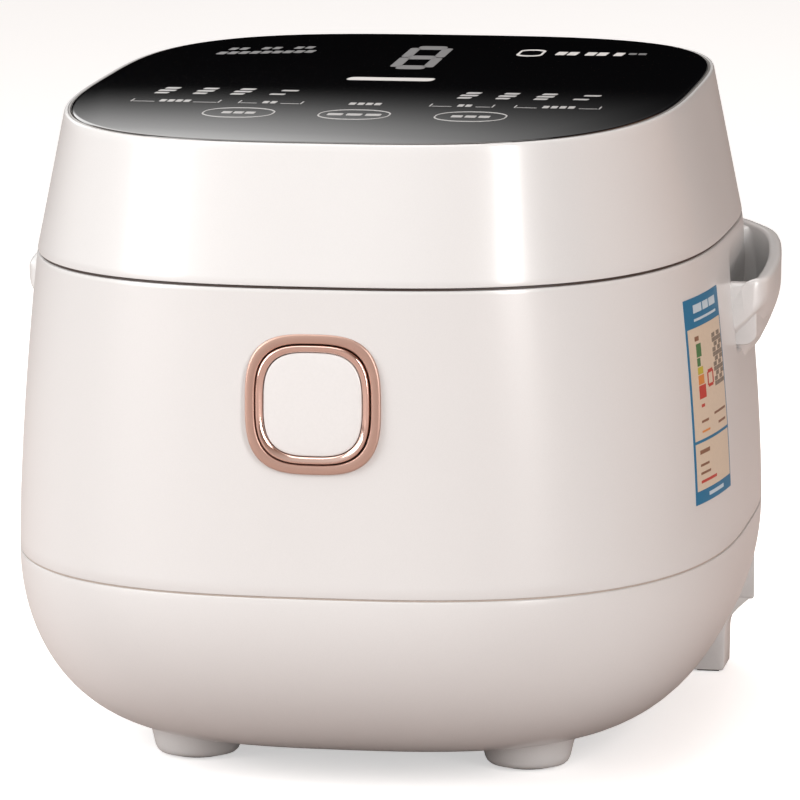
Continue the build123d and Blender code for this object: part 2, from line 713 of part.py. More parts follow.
button_coil = coil(5.4, 0.8, 7.6, 4)
with BuildPart() as button_spring:
    with Locations(button_plane.offset(-15.8).location * Location((0, 3.2, 0))):
        add(button_coil)
button_spring.part.label = "button_spring"
export_step(button_spring.part, "parts/button_spring.step")

lever_y = front_y(BUTTON_Z) + LEVER_DEPTH
stem_tip_y = front_y(BUTTON_Z) + 8 + STEM_LENGTH
with BuildPart() as latch_lever:
    with BuildSketch(Plane.YZ):
        with Locations((lever_y, LEVER_Z)):
            Circle(3.6)
        Polygon(
            (stem_tip_y + 0.5, BUTTON_Z - 2),
            (stem_tip_y + 3.5, BUTTON_Z - 2),
            (stem_tip_y + 3.5, BUTTON_Z + 9),
            (lever_y + 3, LEVER_Z + 1),
            (lever_y - 1, LEVER_Z + 3),
            (lever_y - 3, LEVER_Z - 1),
            (stem_tip_y + 0.5, BUTTON_Z + 9),
            align=None,
        )
        Polygon(
            (lever_y - 2.6, LEVER_Z + 1),
            (lever_y + 2.6, LEVER_Z + 1),
            (lever_y - 0.4, LEVER_Z + 7),
            (lever_y - 0.4, LEVER_Z + 9.5),
            (lever_y + 3.0, LEVER_Z + 9.5),
            (lever_y - 0.4, LEVER_Z + 13),
            (lever_y - 3.0, LEVER_Z + 13),
            align=None,
        )
    extrude(amount=8.5, both=True)
    with BuildSketch(Plane.YZ):
        with Locations((lever_y, LEVER_Z)):
            Circle(PIN_RADIUS + RUNNING_GAP)
    extrude(amount=20, both=True, mode=Mode.SUBTRACT)
latch_lever.part.label = "latch_lever"
export_step(latch_lever.part, "parts/latch_lever.step")

with BuildPart() as latch_pin:
    with BuildSketch(Plane.YZ):
        with Locations((lever_y, LEVER_Z)):
            Circle(PIN_RADIUS)
    extrude(amount=14.5, both=True)
latch_pin.part.label = "latch_pin"
export_step(latch_pin.part, "parts/latch_pin.step")

# ---- Hinge: cover with ears, pin and torsion springs ----
with BuildPart() as hinge_cover:
    with BuildSketch(Plane.XY.offset(158)):
        with Locations((0, HINGE_Y - 12)):
            Rectangle(2 * EAR_OUTER + 8, KNUCKLE_RADIUS + 12, align=(Align.CENTER, Align.MIN))
    extrude(amount=HINGE_Z - 3 - 158)
    fillet(hinge_cover.edges().filter_by(Axis.Z).sort_by(Axis.Y)[-2:], radius=5)
    fillet(hinge_cover.faces().sort_by(Axis.Z)[0].edges().sort_by(Axis.Y)[-1], radius=5)
    for side in (-1, 1):
        with BuildSketch(Plane.YZ.offset(side * (EAR_INNER + EAR_OUTER) / 2)):
            with Locations((HINGE_Y, HINGE_Z)):
                Circle(KNUCKLE_RADIUS)
            with Locations((HINGE_Y + KNUCKLE_RADIUS, HINGE_Z)):
                Rectangle(2 * KNUCKLE_RADIUS, 10, align=(Align.MAX, Align.MAX))
        extrude(amount=(EAR_OUTER - EAR_INNER) / 2, both=True)
    with BuildSketch(hinge_plane):
        Circle(HINGE_CLEARANCE)
    extrude(amount=EAR_INNER, both=True, mode=Mode.SUBTRACT)
    with BuildSketch(hinge_plane):
        Circle(HINGE_PIN_RADIUS + 0.02)
    extrude(amount=EAR_OUTER - 1.5, both=True, mode=Mode.SUBTRACT)
    loft(casing_sections([150, 160, 170, 180, 190, 210], -0.05), mode=Mode.SUBTRACT)
hinge_cover.part.label = "hinge_cover"
export_step(hinge_cover.part, "parts/hinge_cover.step")

with BuildPart() as hinge_pin:
    with BuildSketch(hinge_plane):
        Circle(HINGE_PIN_RADIUS)
    extrude(amount=EAR_OUTER - 2, both=True)
hinge_pin.part.label = "hinge_pin"
export_step(hinge_pin.part, "parts/hinge_pin.step")

with BuildPart() as lid_hinge_arm:
    with BuildSketch(hinge_plane):
        Circle(KNUCKLE_RADIUS)
        Polygon((0, KNUCKLE_RADIUS), (-46, 9.2), (-46, 6.2), (-5, 2.2), align=None)
    extrude(amount=KNUCKLE_HALF, both=True)
    with BuildSketch(hinge_plane):
        Circle(HINGE_PIN_RADIUS + RUNNING_GAP)
    extrude(amount=60, both=True, mode=Mode.SUBTRACT)
lid_hinge_arm.part.label = "lid_hinge_arm"
export_step(lid_hinge_arm.part, "parts/lid_hinge_arm.step")

# ---- Lid shell, glass and trim ----
ARM_SLOT = [(4, 7.2), (-52, 11), (-52, 5.4), (0, 0)]      # room for the hinge arm, seen from the side
lid_outer = [
    outline(Plane.XY.offset(lid_bottom), LID_SEAM_SIZE),
    outline(glass_plane, GLASS_SIZE, powers=GLASS_POWERS),
]
lid_inner = [
    outline(Plane.XY.offset(lid_bottom - 0.5), LID_SEAM_SIZE, WALL),
    outline(glass_plane.offset(-3.4), GLASS_SIZE, WALL + 0.6, GLASS_POWERS),
]
with BuildPart() as lid_shell:
    loft(lid_outer)
    loft(lid_inner, mode=Mode.SUBTRACT)
    extrude(outline(glass_plane.offset(-3.4), GLASS_SIZE, WALL + 2.4, GLASS_POWERS), amount=10, both=True, mode=Mode.SUBTRACT)
    extrude(outline(glass_plane.offset(-3.0), GLASS_SIZE, 1.3, GLASS_POWERS), amount=10, mode=Mode.SUBTRACT)
    with BuildSketch(hinge_plane):
        Circle(HINGE_CLEARANCE)
    extrude(amount=EAR_OUTER + 0.4, both=True, mode=Mode.SUBTRACT)
    with BuildSketch(hinge_plane):
        Polygon(*ARM_SLOT, align=None)
    extrude(amount=KNUCKLE_HALF + 0.3, both=True, mode=Mode.SUBTRACT)
    with BuildSketch(vent_plane.offset(-12)):
        RectangleRounded(47, 23, 4)
    extrude(amount=20, mode=Mode.SUBTRACT)
lid_shell.part.label = "lid_shell"
export_step(lid_shell.part, "parts/lid_shell.step")

with BuildPart() as glass_trim:
    extrude(outline(glass_plane.offset(-2.9), GLASS_SIZE, 1.4, GLASS_POWERS), amount=2.9)
    extrude(outline(glass_plane.offset(-4), GLASS_SIZE, 2.2, GLASS_POWERS), amount=8, mode=Mode.SUBTRACT)
glass_trim.part.label = "glass_trim"
export_step(glass_trim.part, "parts/glass_trim.step")

with BuildPart() as touch_glass:
    extrude(outline(glass_plane.offset(-2.9), GLASS_SIZE, 2.4, GLASS_POWERS), amount=3.4)
    chamfer(touch_glass.faces().sort_by(Axis.Z)[-1].edges(), length=0.6)
touch_glass.part.label = "touch_glass"
export_step(touch_glass.part, "parts/touch_glass.step")

with BuildPart() as glass_carrier:
    extrude(outline(glass_plane.offset(-6.6), GLASS_SIZE, WALL + 3.2, GLASS_POWERS), amount=2.4)
    with BuildSketch(glass_plane.offset(-8)):
        with Locations((0, -70)):
            RectangleRounded(166, 56, 4)
        with Locations((0, 62)):
            RectangleRounded(50, 26, 3)
    extrude(amount=6, mode=Mode.SUBTRACT)
glass_carrier.part.label = "glass_carrier"
export_step(glass_carrier.part, "parts/glass_carrier.step")

with BuildPart() as touch_board:
    with BuildSketch(glass_plane.offset(-10.2)):
        with Locations((0, -70)):
            RectangleRounded(170, 72, 3)
    extrude(amount=1.6)
touch_board.part.label = "touch_board"
export_step(touch_board.part, "parts/touch_board.step")

key_places = [(-44, -89), (0, -89), (44, -89)]
key_places += [(x, -62) for x in (-72, -54, -36, 36, 54, 72)]
with BuildPart() as touch_electrodes:
    with BuildSketch(glass_plane.offset(-8.5)):
        with Locations(*key_places):
            Circle(6)
    extrude(amount=5.4)
touch_electrodes.part.label = "touch_electrodes"
export_step(touch_electrodes.part, "parts/touch_electrodes.step")

with BuildPart() as display_module:
    with BuildSketch(glass_plane.offset(-9.4)):
        with Locations((0, 62)):
            Rectangle(46, 22)
    extrude(amount=6.2)
    with BuildSketch(glass_plane.offset(-10.8)):
        with Locations((0, 62)):
            Rectangle(60, 34)
    extrude(amount=1.4)
display_module.part.label = "display_module"
export_step(display_module.part, "parts/display_module.step")

# ---- Underside of the lid ----
LINER_Z = lid_bottom + 0.4
RECESS_RADIUS = 121.0
RECESS_TOP = 205.0
STEAM_HOLE = (0, 56)
with BuildPart() as lid_liner:
    extrude(outline(Plane.XY.offset(LINER_Z), LID_SEAM_SIZE, WALL + 1.2), amount=2.4)
    with BuildSketch(Plane.XY.offset(LINER_Z)):
        Circle(RECESS_RADIUS)
    extrude(amount=RECESS_TOP - LINER_Z)
    with BuildSketch(Plane.XY.offset(LINER_Z - 1)):
        Circle(RECESS_RADIUS - 2)
    extrude(amount=RECESS_TOP - LINER_Z - 1, mode=Mode.SUBTRACT)
    with BuildSketch(Plane.XY.offset(RECESS_TOP - 3)):
        with Locations(STEAM_HOLE):
            Circle(9)
        with Locations((0, 0)):
            Circle(4.1)
        with Locations((0, -60)):
            Circle(6.2)
    extrude(amount=6, mode=Mode.SUBTRACT)
    with BuildSketch(hinge_plane):
        Circle(HINGE_CLEARANCE)
    extrude(amount=EAR_OUTER + 0.4, both=True, mode=Mode.SUBTRACT)
    with BuildSketch(hinge_plane):
        Polygon(*ARM_SLOT, align=None)
    extrude(amount=KNUCKLE_HALF + 0.3, both=True, mode=Mode.SUBTRACT)
lid_liner.part.label = "lid_liner"
export_step(lid_liner.part, "parts/lid_liner.step")

with BuildPart() as inner_lid:
    with BuildSketch(Plane.XZ):
        Polygon(
            (6, 199.4), (30, 199.0), (95, 195.6), (113, 195.6), (113, 196.6), (95, 196.6), (30, 200.0), (6, 200.4),
            align=None,
        )
    revolve(axis=Axis.Z)
    with BuildSketch(Plane.XY.offset(190)):
        with Locations(STEAM_HOLE):
            with PolarLocations(6.5, 6):
                Circle(1.6)
            Circle(1.6)
        with Locations((0, -60)):
            Circle(6.2)
    extrude(amount=15, mode=Mode.SUBTRACT)
inner_lid.part.label = "inner_lid"
export_step(inner_lid.part, "parts/inner_lid.step")

with BuildPart() as lid_gasket:
    with BuildSketch(Plane.XZ):
        Polygon(
            (110, 195.5), (112, 194.2), (114.5, 192.4), (116.2, 192.4), (118.4, 195.4), (118.4, 198.8),
            (113.3, 198.8), (113.3, 195.5),
            align=None,
        )
    revolve(axis=Axis.Z)
lid_gasket.part.label = "lid_gasket"
export_step(lid_gasket.part, "parts/lid_gasket.step")

with BuildPart() as inner_lid_knob:
    with BuildSketch(Plane.XZ):
        Polygon((0, 197.0), (8.5, 197.0), (9.5, 198.6), (5.6, 199.2), (4, 200.4), (4, 208), (0, 208), align=None)
    revolve(axis=Axis.Z)
inner_lid_knob.part.label = "inner_lid_knob"
export_step(inner_lid_knob.part, "parts/inner_lid_knob.step")

with BuildPart() as lid_sensor:
    with BuildSketch(Plane.XY.offset(193.4)):
        with Locations((0, -60)):
            Circle(6)
    extrude(amount=14)
    fillet(lid_sensor.faces().sort_by(Axis.Z)[0].edges(), radius=2)
lid_sensor.part.label = "lid_sensor"
export_step(lid_sensor.part, "parts/lid_sensor.step")

with BuildPart() as steam_duct:
    with BuildSketch(Plane.XY.offset(RECESS_TOP + 0.2)):
        with Locations((0, 43)):
            Rectangle(52, 92, align=(Align.CENTER, Align.MIN))
    extrude(amount=28)
    with BuildSketch(Plane.XY.offset(RECESS_TOP + 2.2)):
        with Locations((0, 45)):
            Rectangle(48, 120, align=(Align.CENTER, Align.MIN))
    extrude(amount=24, mode=Mode.SUBTRACT)
    with BuildSketch(Plane.XY.offset(RECESS_TOP - 2)):
        with Locations(STEAM_HOLE):
            Circle(8)
    extrude(amount=8, mode=Mode.SUBTRACT)
steam_duct.part.label = "steam_duct"
export_step(steam_duct.part, "parts/steam_duct.step")

with BuildPart() as vent_cap:
    with BuildSketch(vent_plane.offset(0.6)):
        RectangleRounded(54, 30, 7)
    extrude(amount=2.2)
    with BuildSketch(vent_plane.offset(-14)):
        RectangleRounded(46, 22, 3.5)
    extrude(amount=14.8)
    with BuildSketch(vent_plane.offset(-15)):
        RectangleRounded(42, 18, 2)
    extrude(amount=14.0, mode=Mode.SUBTRACT)
    with BuildSketch(vent_plane.offset(-3)):
        with GridLocations(0, 5, 1, 3):
            SlotOverall(34, 2.4)
    extrude(amount=8, mode=Mode.SUBTRACT)
vent_cap.part.label = "vent_cap"
export_step(vent_cap.part, "parts/vent_cap.step")

with BuildPart() as lid_catch:
    with BuildSketch(Plane.XY.offset(LINER_Z - 2.2)):
        with Locations((0, CATCH_Y)):
            Rectangle(20, 9)
    extrude(amount=2.2)
    with BuildSketch(Plane.YZ):
        Polygon(
            (CATCH_Y - 1.5, LINER_Z - 2.2),
            (CATCH_Y + 1.5, LINER_Z - 2.2),
            (CATCH_Y + 1.5, LEVER_Z + 3),
            (CATCH_Y - 1.5, LEVER_Z + 3),
            (CATCH_Y - 4.3, LEVER_Z + 6.5),
            (CATCH_Y - 4.3, LEVER_Z + 8.5),
            (CATCH_Y - 1.5, LEVER_Z + 8.5),
            align=None,
        )
    extrude(amount=7, both=True)
lid_catch.part.label = "lid_catch"
export_step(lid_catch.part, "parts/lid_catch.step")

lid_screw_places = [(-92, -120), (92, -120), (-88, 118), (88, 118)]
with BuildPart() as lid_screws:
    with BuildSketch(Plane.XY.offset(LINER_Z + 2.4)):
        with Locations(*lid_screw_places):
            Circle(3.4)
    extrude(amount=2)
    with BuildSketch(Plane.XY.offset(LINER_Z + 4.4)):
        with Locations(*lid_screw_places):
            Circle(1.5)
    extrude(amount=12)
lid_screws.part.label = "lid_screws"
export_step(lid_screws.part, "parts/lid_screws.step")

# ---- Lift-out pot ----
inner_radius = POT_RADIUS - POT_WALL
inner_corner = POT_CORNER - POT_WALL
with BuildPart() as inner_pot:
    with BuildSketch(Plane.XZ):
        with BuildLine():
            Line((0, POT_BOTTOM), (POT_RADIUS - POT_CORNER, POT_BOTTOM))
            TangentArc(
                (POT_RADIUS - POT_CORNER, POT_BOTTOM), (POT_RADIUS, POT_BOTTOM + POT_CORNER), tangent=(1, 0)
            )
            Polyline(
                (POT_RADIUS, POT_BOTTOM + POT_CORNER),
                (POT_RADIUS, POT_TOP - 1.7),
                (POT_FLANGE_RADIUS, POT_TOP - 1.7),
                (POT_FLANGE_RADIUS, POT_TOP),
                (inner_radius, POT_TOP),
                (inner_radius, POT_BOTTOM + POT_CORNER),
            )
            TangentArc(
                (inner_radius, POT_BOTTOM + POT_CORNER),
                (inner_radius - inner_corner, POT_BOTTOM + POT_WALL),
                tangent=(0, -1),
            )
            Polyline((inner_radius - inner_corner, POT_BOTTOM + POT_WALL), (0, POT_BOTTOM + POT_WALL), (0, POT_BOTTOM))
        make_face()
    revolve(axis=Axis.Z)
inner_pot.part.label = "inner_pot"
export_step(inner_pot.part, "parts/inner_pot.step")
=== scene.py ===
from math import atan, cos, pi, radians, sin

import bmesh
import bpy
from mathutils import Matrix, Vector


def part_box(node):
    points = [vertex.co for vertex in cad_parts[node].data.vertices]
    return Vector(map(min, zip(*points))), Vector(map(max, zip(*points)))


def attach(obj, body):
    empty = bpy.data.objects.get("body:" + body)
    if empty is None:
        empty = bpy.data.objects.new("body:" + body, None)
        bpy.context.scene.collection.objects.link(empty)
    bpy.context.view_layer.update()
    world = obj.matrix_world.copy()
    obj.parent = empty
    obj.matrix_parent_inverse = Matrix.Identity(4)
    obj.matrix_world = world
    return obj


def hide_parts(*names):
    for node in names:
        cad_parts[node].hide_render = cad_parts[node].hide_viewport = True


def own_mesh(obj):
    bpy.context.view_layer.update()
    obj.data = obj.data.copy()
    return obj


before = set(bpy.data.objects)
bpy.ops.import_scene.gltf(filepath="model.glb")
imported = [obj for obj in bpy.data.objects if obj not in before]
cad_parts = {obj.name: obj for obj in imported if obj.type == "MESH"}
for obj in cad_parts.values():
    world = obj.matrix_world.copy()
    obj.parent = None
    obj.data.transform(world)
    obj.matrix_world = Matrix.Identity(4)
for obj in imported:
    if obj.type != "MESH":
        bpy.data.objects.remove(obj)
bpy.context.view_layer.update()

MM = 0.001

# ---- Sizes, in millimetres, shared with the part ----
PLAN_POINTS = 432
PLAN_Y = 10.2
CASING_POWERS = (2.84, 3.07)
GLASS_POWERS = (3.06, 3.25)
BASE_SEAM_Z = 80.9
LID_SEAM_Z = 195.2
BASE_SIZE = (138.7, 188.6, 171.1)
LID_SEAM_SIZE = (130.1, 190.6, 161.8)
GLASS_SIZE = (118.3, 179.9, 147.2)
GLASS_Z = 251.2
GLASS_SLOPE = 0.029
LEAN_POWER = 1.6
WALL = 2.6
BASE_TOP = 80.55
BODY_BOTTOM = 81.25
BODY_TOP = 194.7
LID_BOTTOM = 195.7
BOWL_DEPTH = 71.95
BOWL_PULL = (55.6, 88.3, 62.0)
BOWL_POWER = 2.04
HOUSING_Y = PLAN_Y + 98
HOUSING_BOTTOM = 31.0
REAR_FOOT_X = (104.0, 118.5)
REAR_FOOT_DEPTH = 20.0
FRONT_FOOT = (64.0, PLAN_Y - 87)
HINGE_Y = PLAN_Y + 163.6
HINGE_Z = 195.4
HINGE_CLEARANCE = 6.8
BUTTON_Z = 152.8
INLET_Z = 56.0
VENT_Z = 221.0
HANDLE_FRONT = PLAN_Y - 18
HANDLE_REAR = PLAN_Y + 92
HANDLE_OUT = 147.6
HANDLE_LIP = 5.0
HANDLE_TOP_FRONT = 178.5
HANDLE_TOP_REAR = 189.5
POCKET_FLOOR = 152.0
POCKET_ROOF = 184.0
POCKET_INNER = 121.5


# ---- Materials ----
def surface(
    name, colour, rough=0.4, metal=0.0, coat=0.0, grain=0.0, grain_scale=900.0, depth=0.0, coat_rough=0.08
):
    """A procedural finish: one colour varied a little by noise, with an optional fine bump."""
    finish = bpy.data.materials.new(name)
    finish.use_nodes = True
    nodes = finish.node_tree.nodes
    links = finish.node_tree.links
    shader = nodes["Principled BSDF"]
    shader.inputs["Roughness"].default_value = rough
    shader.inputs["Metallic"].default_value = metal
    shader.inputs["Coat Weight"].default_value = coat
    shader.inputs["Coat Roughness"].default_value = coat_rough
    shader.inputs["Base Color"].default_value = (*colour, 1)
    if grain or depth:
        place = nodes.new("ShaderNodeTexCoord")
        noise = nodes.new("ShaderNodeTexNoise")
        noise.inputs["Scale"].default_value = grain_scale
        noise.inputs["Detail"].default_value = 3.0
        links.new(place.outputs["Object"], noise.inputs["Vector"])
    if grain:
        ramp = nodes.new("ShaderNodeValToRGB")
        ramp.color_ramp.elements[0].position = 0.35
        ramp.color_ramp.elements[1].position = 0.65
        ramp.color_ramp.elements[0].color = (*(c * (1 - grain) for c in colour), 1)
        ramp.color_ramp.elements[1].color = (*(min(1, c * (1 + grain)) for c in colour), 1)
        links.new(noise.outputs["Fac"], ramp.inputs["Fac"])
        links.new(ramp.outputs["Color"], shader.inputs["Base Color"])
    if depth:
        bump = nodes.new("ShaderNodeBump")
        bump.inputs["Strength"].default_value = depth
        bump.inputs["Distance"].default_value = 0.0002
        links.new(noise.outputs["Fac"], bump.inputs["Height"])
        links.new(bump.outputs["Normal"], shader.inputs["Normal"])
    return finish


def speckled(name, colour, fleck, scale, share):
    """A dark coating with small pale flecks, as on a nonstick pot."""
    finish = surface(name, colour, rough=0.38)
    nodes = finish.node_tree.nodes
    links = finish.node_tree.links
    place = nodes.new("ShaderNodeTexCoord")
    cells = nodes.new("ShaderNodeTexVoronoi")
    cells.inputs["Scale"].default_value = scale
    ramp = nodes.new("ShaderNodeValToRGB")
    ramp.color_ramp.elements[0].position = share
    ramp.color_ramp.elements[1].position = share + 0.04
    ramp.color_ramp.elements[0].color = (*fleck, 1)
    ramp.color_ramp.elements[1].color = (*colour, 1)
    links.new(place.outputs["Object"], cells.inputs["Vector"])
    links.new(cells.outputs["Distance"], ramp.inputs["Fac"])
    links.new(ramp.outputs["Color"], nodes["Principled BSDF"].inputs["Base Color"])
    return finish


WHITE = surface(
    "pearl_white", (0.60, 0.602, 0.604), rough=0.34, coat=0.5, grain=0.012, grain_scale=2500, depth=0.02,
    coat_rough=0.16,
)
RUBBER = surface("rubber", (0.03, 0.03, 0.03), rough=0.8, grain=0.1, depth=0.2)
STEEL = surface("bright_steel", (0.6, 0.6, 0.6), rough=0.3, metal=1.0, grain=0.03)
SHEET = surface("steel_sheet", (0.55, 0.56, 0.57), rough=0.42, metal=1.0, grain=0.05, grain_scale=300)
STICKER_BLUE = surface("print_blue", (0.0, 0.135, 0.27), rough=0.5, coat=0.1, grain=0.02)
STICKER_CREAM = surface("print_cream", (0.56, 0.47, 0.37), rough=0.5, coat=0.1, grain=0.02)
STICKER_PALE = surface("print_pale", (0.45, 0.55, 0.62), rough=0.5, coat=0.1, grain=0.02)
STICKER_GREY = surface("print_grey", (0.19, 0.16, 0.13), rough=0.5, coat=0.1, grain=0.03)
STICKER_BROWN = surface("print_brown", (0.20, 0.10, 0.06), rough=0.5, coat=0.1, grain=0.03)
STICKER_RED = surface("print_red", (0.42, 0.04, 0.03), rough=0.5, coat=0.1, grain=0.02)
STICKER_ORANGE = surface("print_orange", (0.55, 0.20, 0.04), rough=0.5, coat=0.1, grain=0.02)
STICKER_YELLOW = surface("print_yellow", (0.42, 0.36, 0.04), rough=0.5, coat=0.1, grain=0.02)
STICKER_GREEN = surface("print_green", (0.05, 0.16, 0.06), rough=0.5, coat=0.1, grain=0.02)
DECK = surface("deck_plastic", (0.62, 0.60, 0.57), rough=0.42, grain=0.02, depth=0.05)
CAST = surface(
    "cast_aluminium", (0.5, 0.5, 0.5), rough=0.5, metal=1.0, grain=0.08, grain_scale=200, depth=0.3
)
CERAMIC = surface("ceramic", (0.75, 0.72, 0.66), rough=0.6, grain=0.04)
SLEEVE = surface("fuse_sleeve", (0.62, 0.55, 0.38), rough=0.7, grain=0.1, depth=0.2)
BOARD = surface("circuit_board", (0.03, 0.16, 0.08), rough=0.45, coat=0.3, grain=0.1)
COMPONENT = surface("component_black", (0.03, 0.03, 0.035), rough=0.5, grain=0.1)
BLUE_PART = surface("component_blue", (0.04, 0.16, 0.45), rough=0.45, grain=0.05)
BLACK = surface("black_plastic", (0.022, 0.022, 0.023), rough=0.42, grain=0.08, depth=0.08)
SHEATH = surface("wire_sheath", (0.55, 0.06, 0.04), rough=0.5, grain=0.05)
ROSE_SATIN = surface(
    "rose_gold_satin", (0.54, 0.36, 0.30), rough=0.42, metal=0.9, grain=0.02, grain_scale=3000
)
ROSE_POLISHED = surface("rose_gold_polished", (0.74, 0.52, 0.45), rough=0.13, metal=1.0, grain=0.01)
# painted shade: a near-black standing for the shadow in the lid seam's gap
LID_GAP_SHADE = surface("lid_seam_painted_shade", (0.045, 0.03, 0.025), rough=0.5, grain=0.05)
# painted shade: a grey-brown standing for the faint shadow in the base seam's gap
BASE_GAP_SHADE = surface("base_seam_painted_shade", (0.42, 0.36, 0.32), rough=0.6, grain=0.05)
TRIM = surface("trim_grey", (0.34, 0.33, 0.32), rough=0.3, metal=0.5, grain=0.02)
TRIM_DARK = surface("trim_dark", (0.03, 0.03, 0.03), rough=0.4, grain=0.05)
GLASS = surface("black_glass", (0.006, 0.006, 0.007), rough=0.04, coat=1.0, grain=0.05, coat_rough=0.02)
PRINT = surface("glass_print", (0.42, 0.42, 0.42), rough=0.35, grain=0.03)
PRINT_BRIGHT = surface("glass_print_bright", (0.62, 0.61, 0.60), rough=0.35, grain=0.03)
PRINT_DIM = surface("glass_print_dim", (0.16, 0.16, 0.165), rough=0.35, grain=0.03)
FOAM = surface("electrode_foam", (0.12, 0.12, 0.12), rough=0.9, grain=0.2, depth=0.4)
ALUMINIUM = surface(
    "inner_lid_aluminium", (0.62, 0.62, 0.63), rough=0.28, metal=1.0, grain=0.03, grain_scale=400
)
SILICONE = surface("silicone", (0.50, 0.49, 0.47), rough=0.55, grain=0.03)
CAP = surface("cap_white", (0.63, 0.632, 0.634), rough=0.34, coat=0.5, grain=0.01, coat_rough=0.16)
POT = speckled("nonstick", (0.025, 0.025, 0.027), (0.30, 0.30, 0.30), 420.0, 0.13)
FLOOR = surface("floor_paper", (0.93, 0.93, 0.93), rough=0.95, grain=0.004)

NODE_FINISH = {
    WHITE: "base_shell body_shell lid_shell hinge_cover",
    RUBBER: "foot_pads",
    STEEL: "base_screws lid_screws hinge_pin latch_pin button_spring sensor_spring heater_terminals "
    "inlet_pins",
    SHEET: "pot_well sensor_bracket board_brackets plate_mounts",
    STICKER_CREAM: "side_sticker",
    DECK: "top_deck lid_liner button_guide",
    CAST: "heating_plate",
    ALUMINIUM: "inner_lid sensor_cap",
    CERAMIC: "lid_sensor",
    SLEEVE: "thermal_fuse",
    BOARD: "power_board touch_board",
    COMPONENT: "transformer heater_relay display_module",
    BLUE_PART: "board_capacitors",
    BLACK: "power_inlet vent_cap steam_duct lid_hinge_arm glass_carrier latch_lever lid_catch button_plunger",
    SHEATH: "wiring",
    ROSE_SATIN: "button_bezel",
    ROSE_POLISHED: "button_ring",
    TRIM_DARK: "glass_trim",
    GLASS: "touch_glass",
    FOAM: "touch_electrodes",
    SILICONE: "lid_gasket inner_lid_knob",
    CAP: "button_cap",
    POT: "inner_pot",
}
for finish, names in NODE_FINISH.items():
    for name in names.split():
        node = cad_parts[name]
        node.data.materials.clear()
        node.data.materials.append(finish)


# ---- Mesh tools; points are in millimetres ----
def shade(piece, angle=32):
    """Smooth shading, kept crisp at edges sharper than angle."""
    piece.data.polygons.foreach_set("use_smooth", [True] * len(piece.data.polygons))
    piece.data.set_sharp_from_angle(angle=radians(angle))


def build(name, points, faces, finish=None, angle=32):
    """An object made from points and faces, with its normals turned outwards."""
    data = bpy.data.meshes.new(name)
    data.from_pydata([[c * MM for c in point] for point in points], [], faces)
    work = bmesh.new()
    work.from_mesh(data)
    bmesh.ops.recalc_face_normals(work, faces=work.faces)
    work.to_mesh(data)
    work.free()
    piece = bpy.data.objects.new(name, data)
    bpy.context.scene.collection.objects.link(piece)
    if finish:
        data.materials.append(finish)
    shade(piece, angle)
    return piece


def place(piece, body, slot, *nodes):
    """Fixes a finished piece to its body and hides the nodes it stands for; slot is not used."""
    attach(piece, body)
    if nodes:
        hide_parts(*nodes)


def skin(rings, closed=False):
    """Points and faces over a stack of rings; closed joins the last ring to the first, else it is capped."""
    count = len(rings[0])
    points = [point for ring in rings for point in ring]
    faces = []
    spans = len(rings) if closed else len(rings) - 1
    for level in range(spans):
        low = level * count
        high = (level + 1) % len(rings) * count
        for step in range(count):
            other = (step + 1) % count
            faces.append((low + step, low + other, high + other, high + step))
    if not closed:
        faces.append(tuple(range(count)))
        faces.append(tuple(range(len(points) - count, len(points))))
    return points, faces


def plan(size, inset, height, powers=CASING_POWERS):
    """A ring of points round the plan curve; height is a number, or a function of x and y."""
    half_width, front, rear = (side - inset for side in size)
    ring = []
    for step in range(PLAN_POINTS):
        across = cos(2 * pi * step / PLAN_POINTS)
        along = sin(2 * pi * step / PLAN_POINTS)
        depth, power = (rear, powers[1]) if along > 0 else (front, powers[0])
        reach = (abs(across / half_width) ** power + abs(along / depth) ** power) ** (-1 / power)
        x = reach * across
        y = PLAN_Y + reach * along
        ring.append((x, y, height(x, y) if callable(height) else height))
    return ring


def casing_size(z):
    """Half width, front depth and rear depth of the casing at height z."""
    share = max(z - BASE_SEAM_Z, 0) / (LID_SEAM_Z - BASE_SEAM_Z)
    lean = share**LEAN_POWER
    half_width = BASE_SIZE[0] + (LID_SEAM_SIZE[0] - BASE_SIZE[0]) * lean
    front = BASE_SIZE[1] + (LID_SEAM_SIZE[1] - BASE_SIZE[1]) * share
    rear = BASE_SIZE[2] + (LID_SEAM_SIZE[2] - BASE_SIZE[2]) * lean
    return half_width, front, rear


def glass_height(offset):
    """Height of the tilted glass plane, raised by offset."""
    return lambda x, y: GLASS_Z + GLASS_SLOPE * y + offset


def lathe(name, profile, finish, centre=(0, 0), count=192, angle=32):
    """A closed profile of (radius, z) turned about a vertical axis; a radius of 0 closes it at the axis."""
    points = []
    faces = []
    index = []
    for radius, z in profile:
        if radius < 1e-6:
            index.append([len(points)])
            points.append((centre[0], centre[1], z))
        else:
            index.append(list(range(len(points), len(points) + count)))
            for step in range(count):
                turn = 2 * pi * step / count
                points.append((centre[0] + radius * cos(turn), centre[1] + radius * sin(turn), z))
    for level in range(len(profile)):
        low = index[level]
        high = index[(level + 1) % len(profile)]
        if len(low) == 1 and len(high) == 1:
            continue
        for step in range(count):
            other = (step + 1) % count
            corners = (low[step % len(low)], low[other % len(low)])
            corners += (high[other % len(high)], high[step % len(high)])
            faces.append(tuple(dict.fromkeys(corners)))
    return build(name, points, faces, finish, angle)


def squircle_ring(size, y, power=3.1, count=144):
    """A ring round a squircle on the front face, at depth y."""
    ring = []
    for step in range(count):
        across = cos(2 * pi * step / count)
        up = sin(2 * pi * step / count)
        reach = (abs(across / (size[0] / 2)) ** power + abs(up / (size[1] / 2)) ** power) ** (-1 / power)
        ring.append((reach * across, y, BUTTON_Z + reach * up))
    return ring


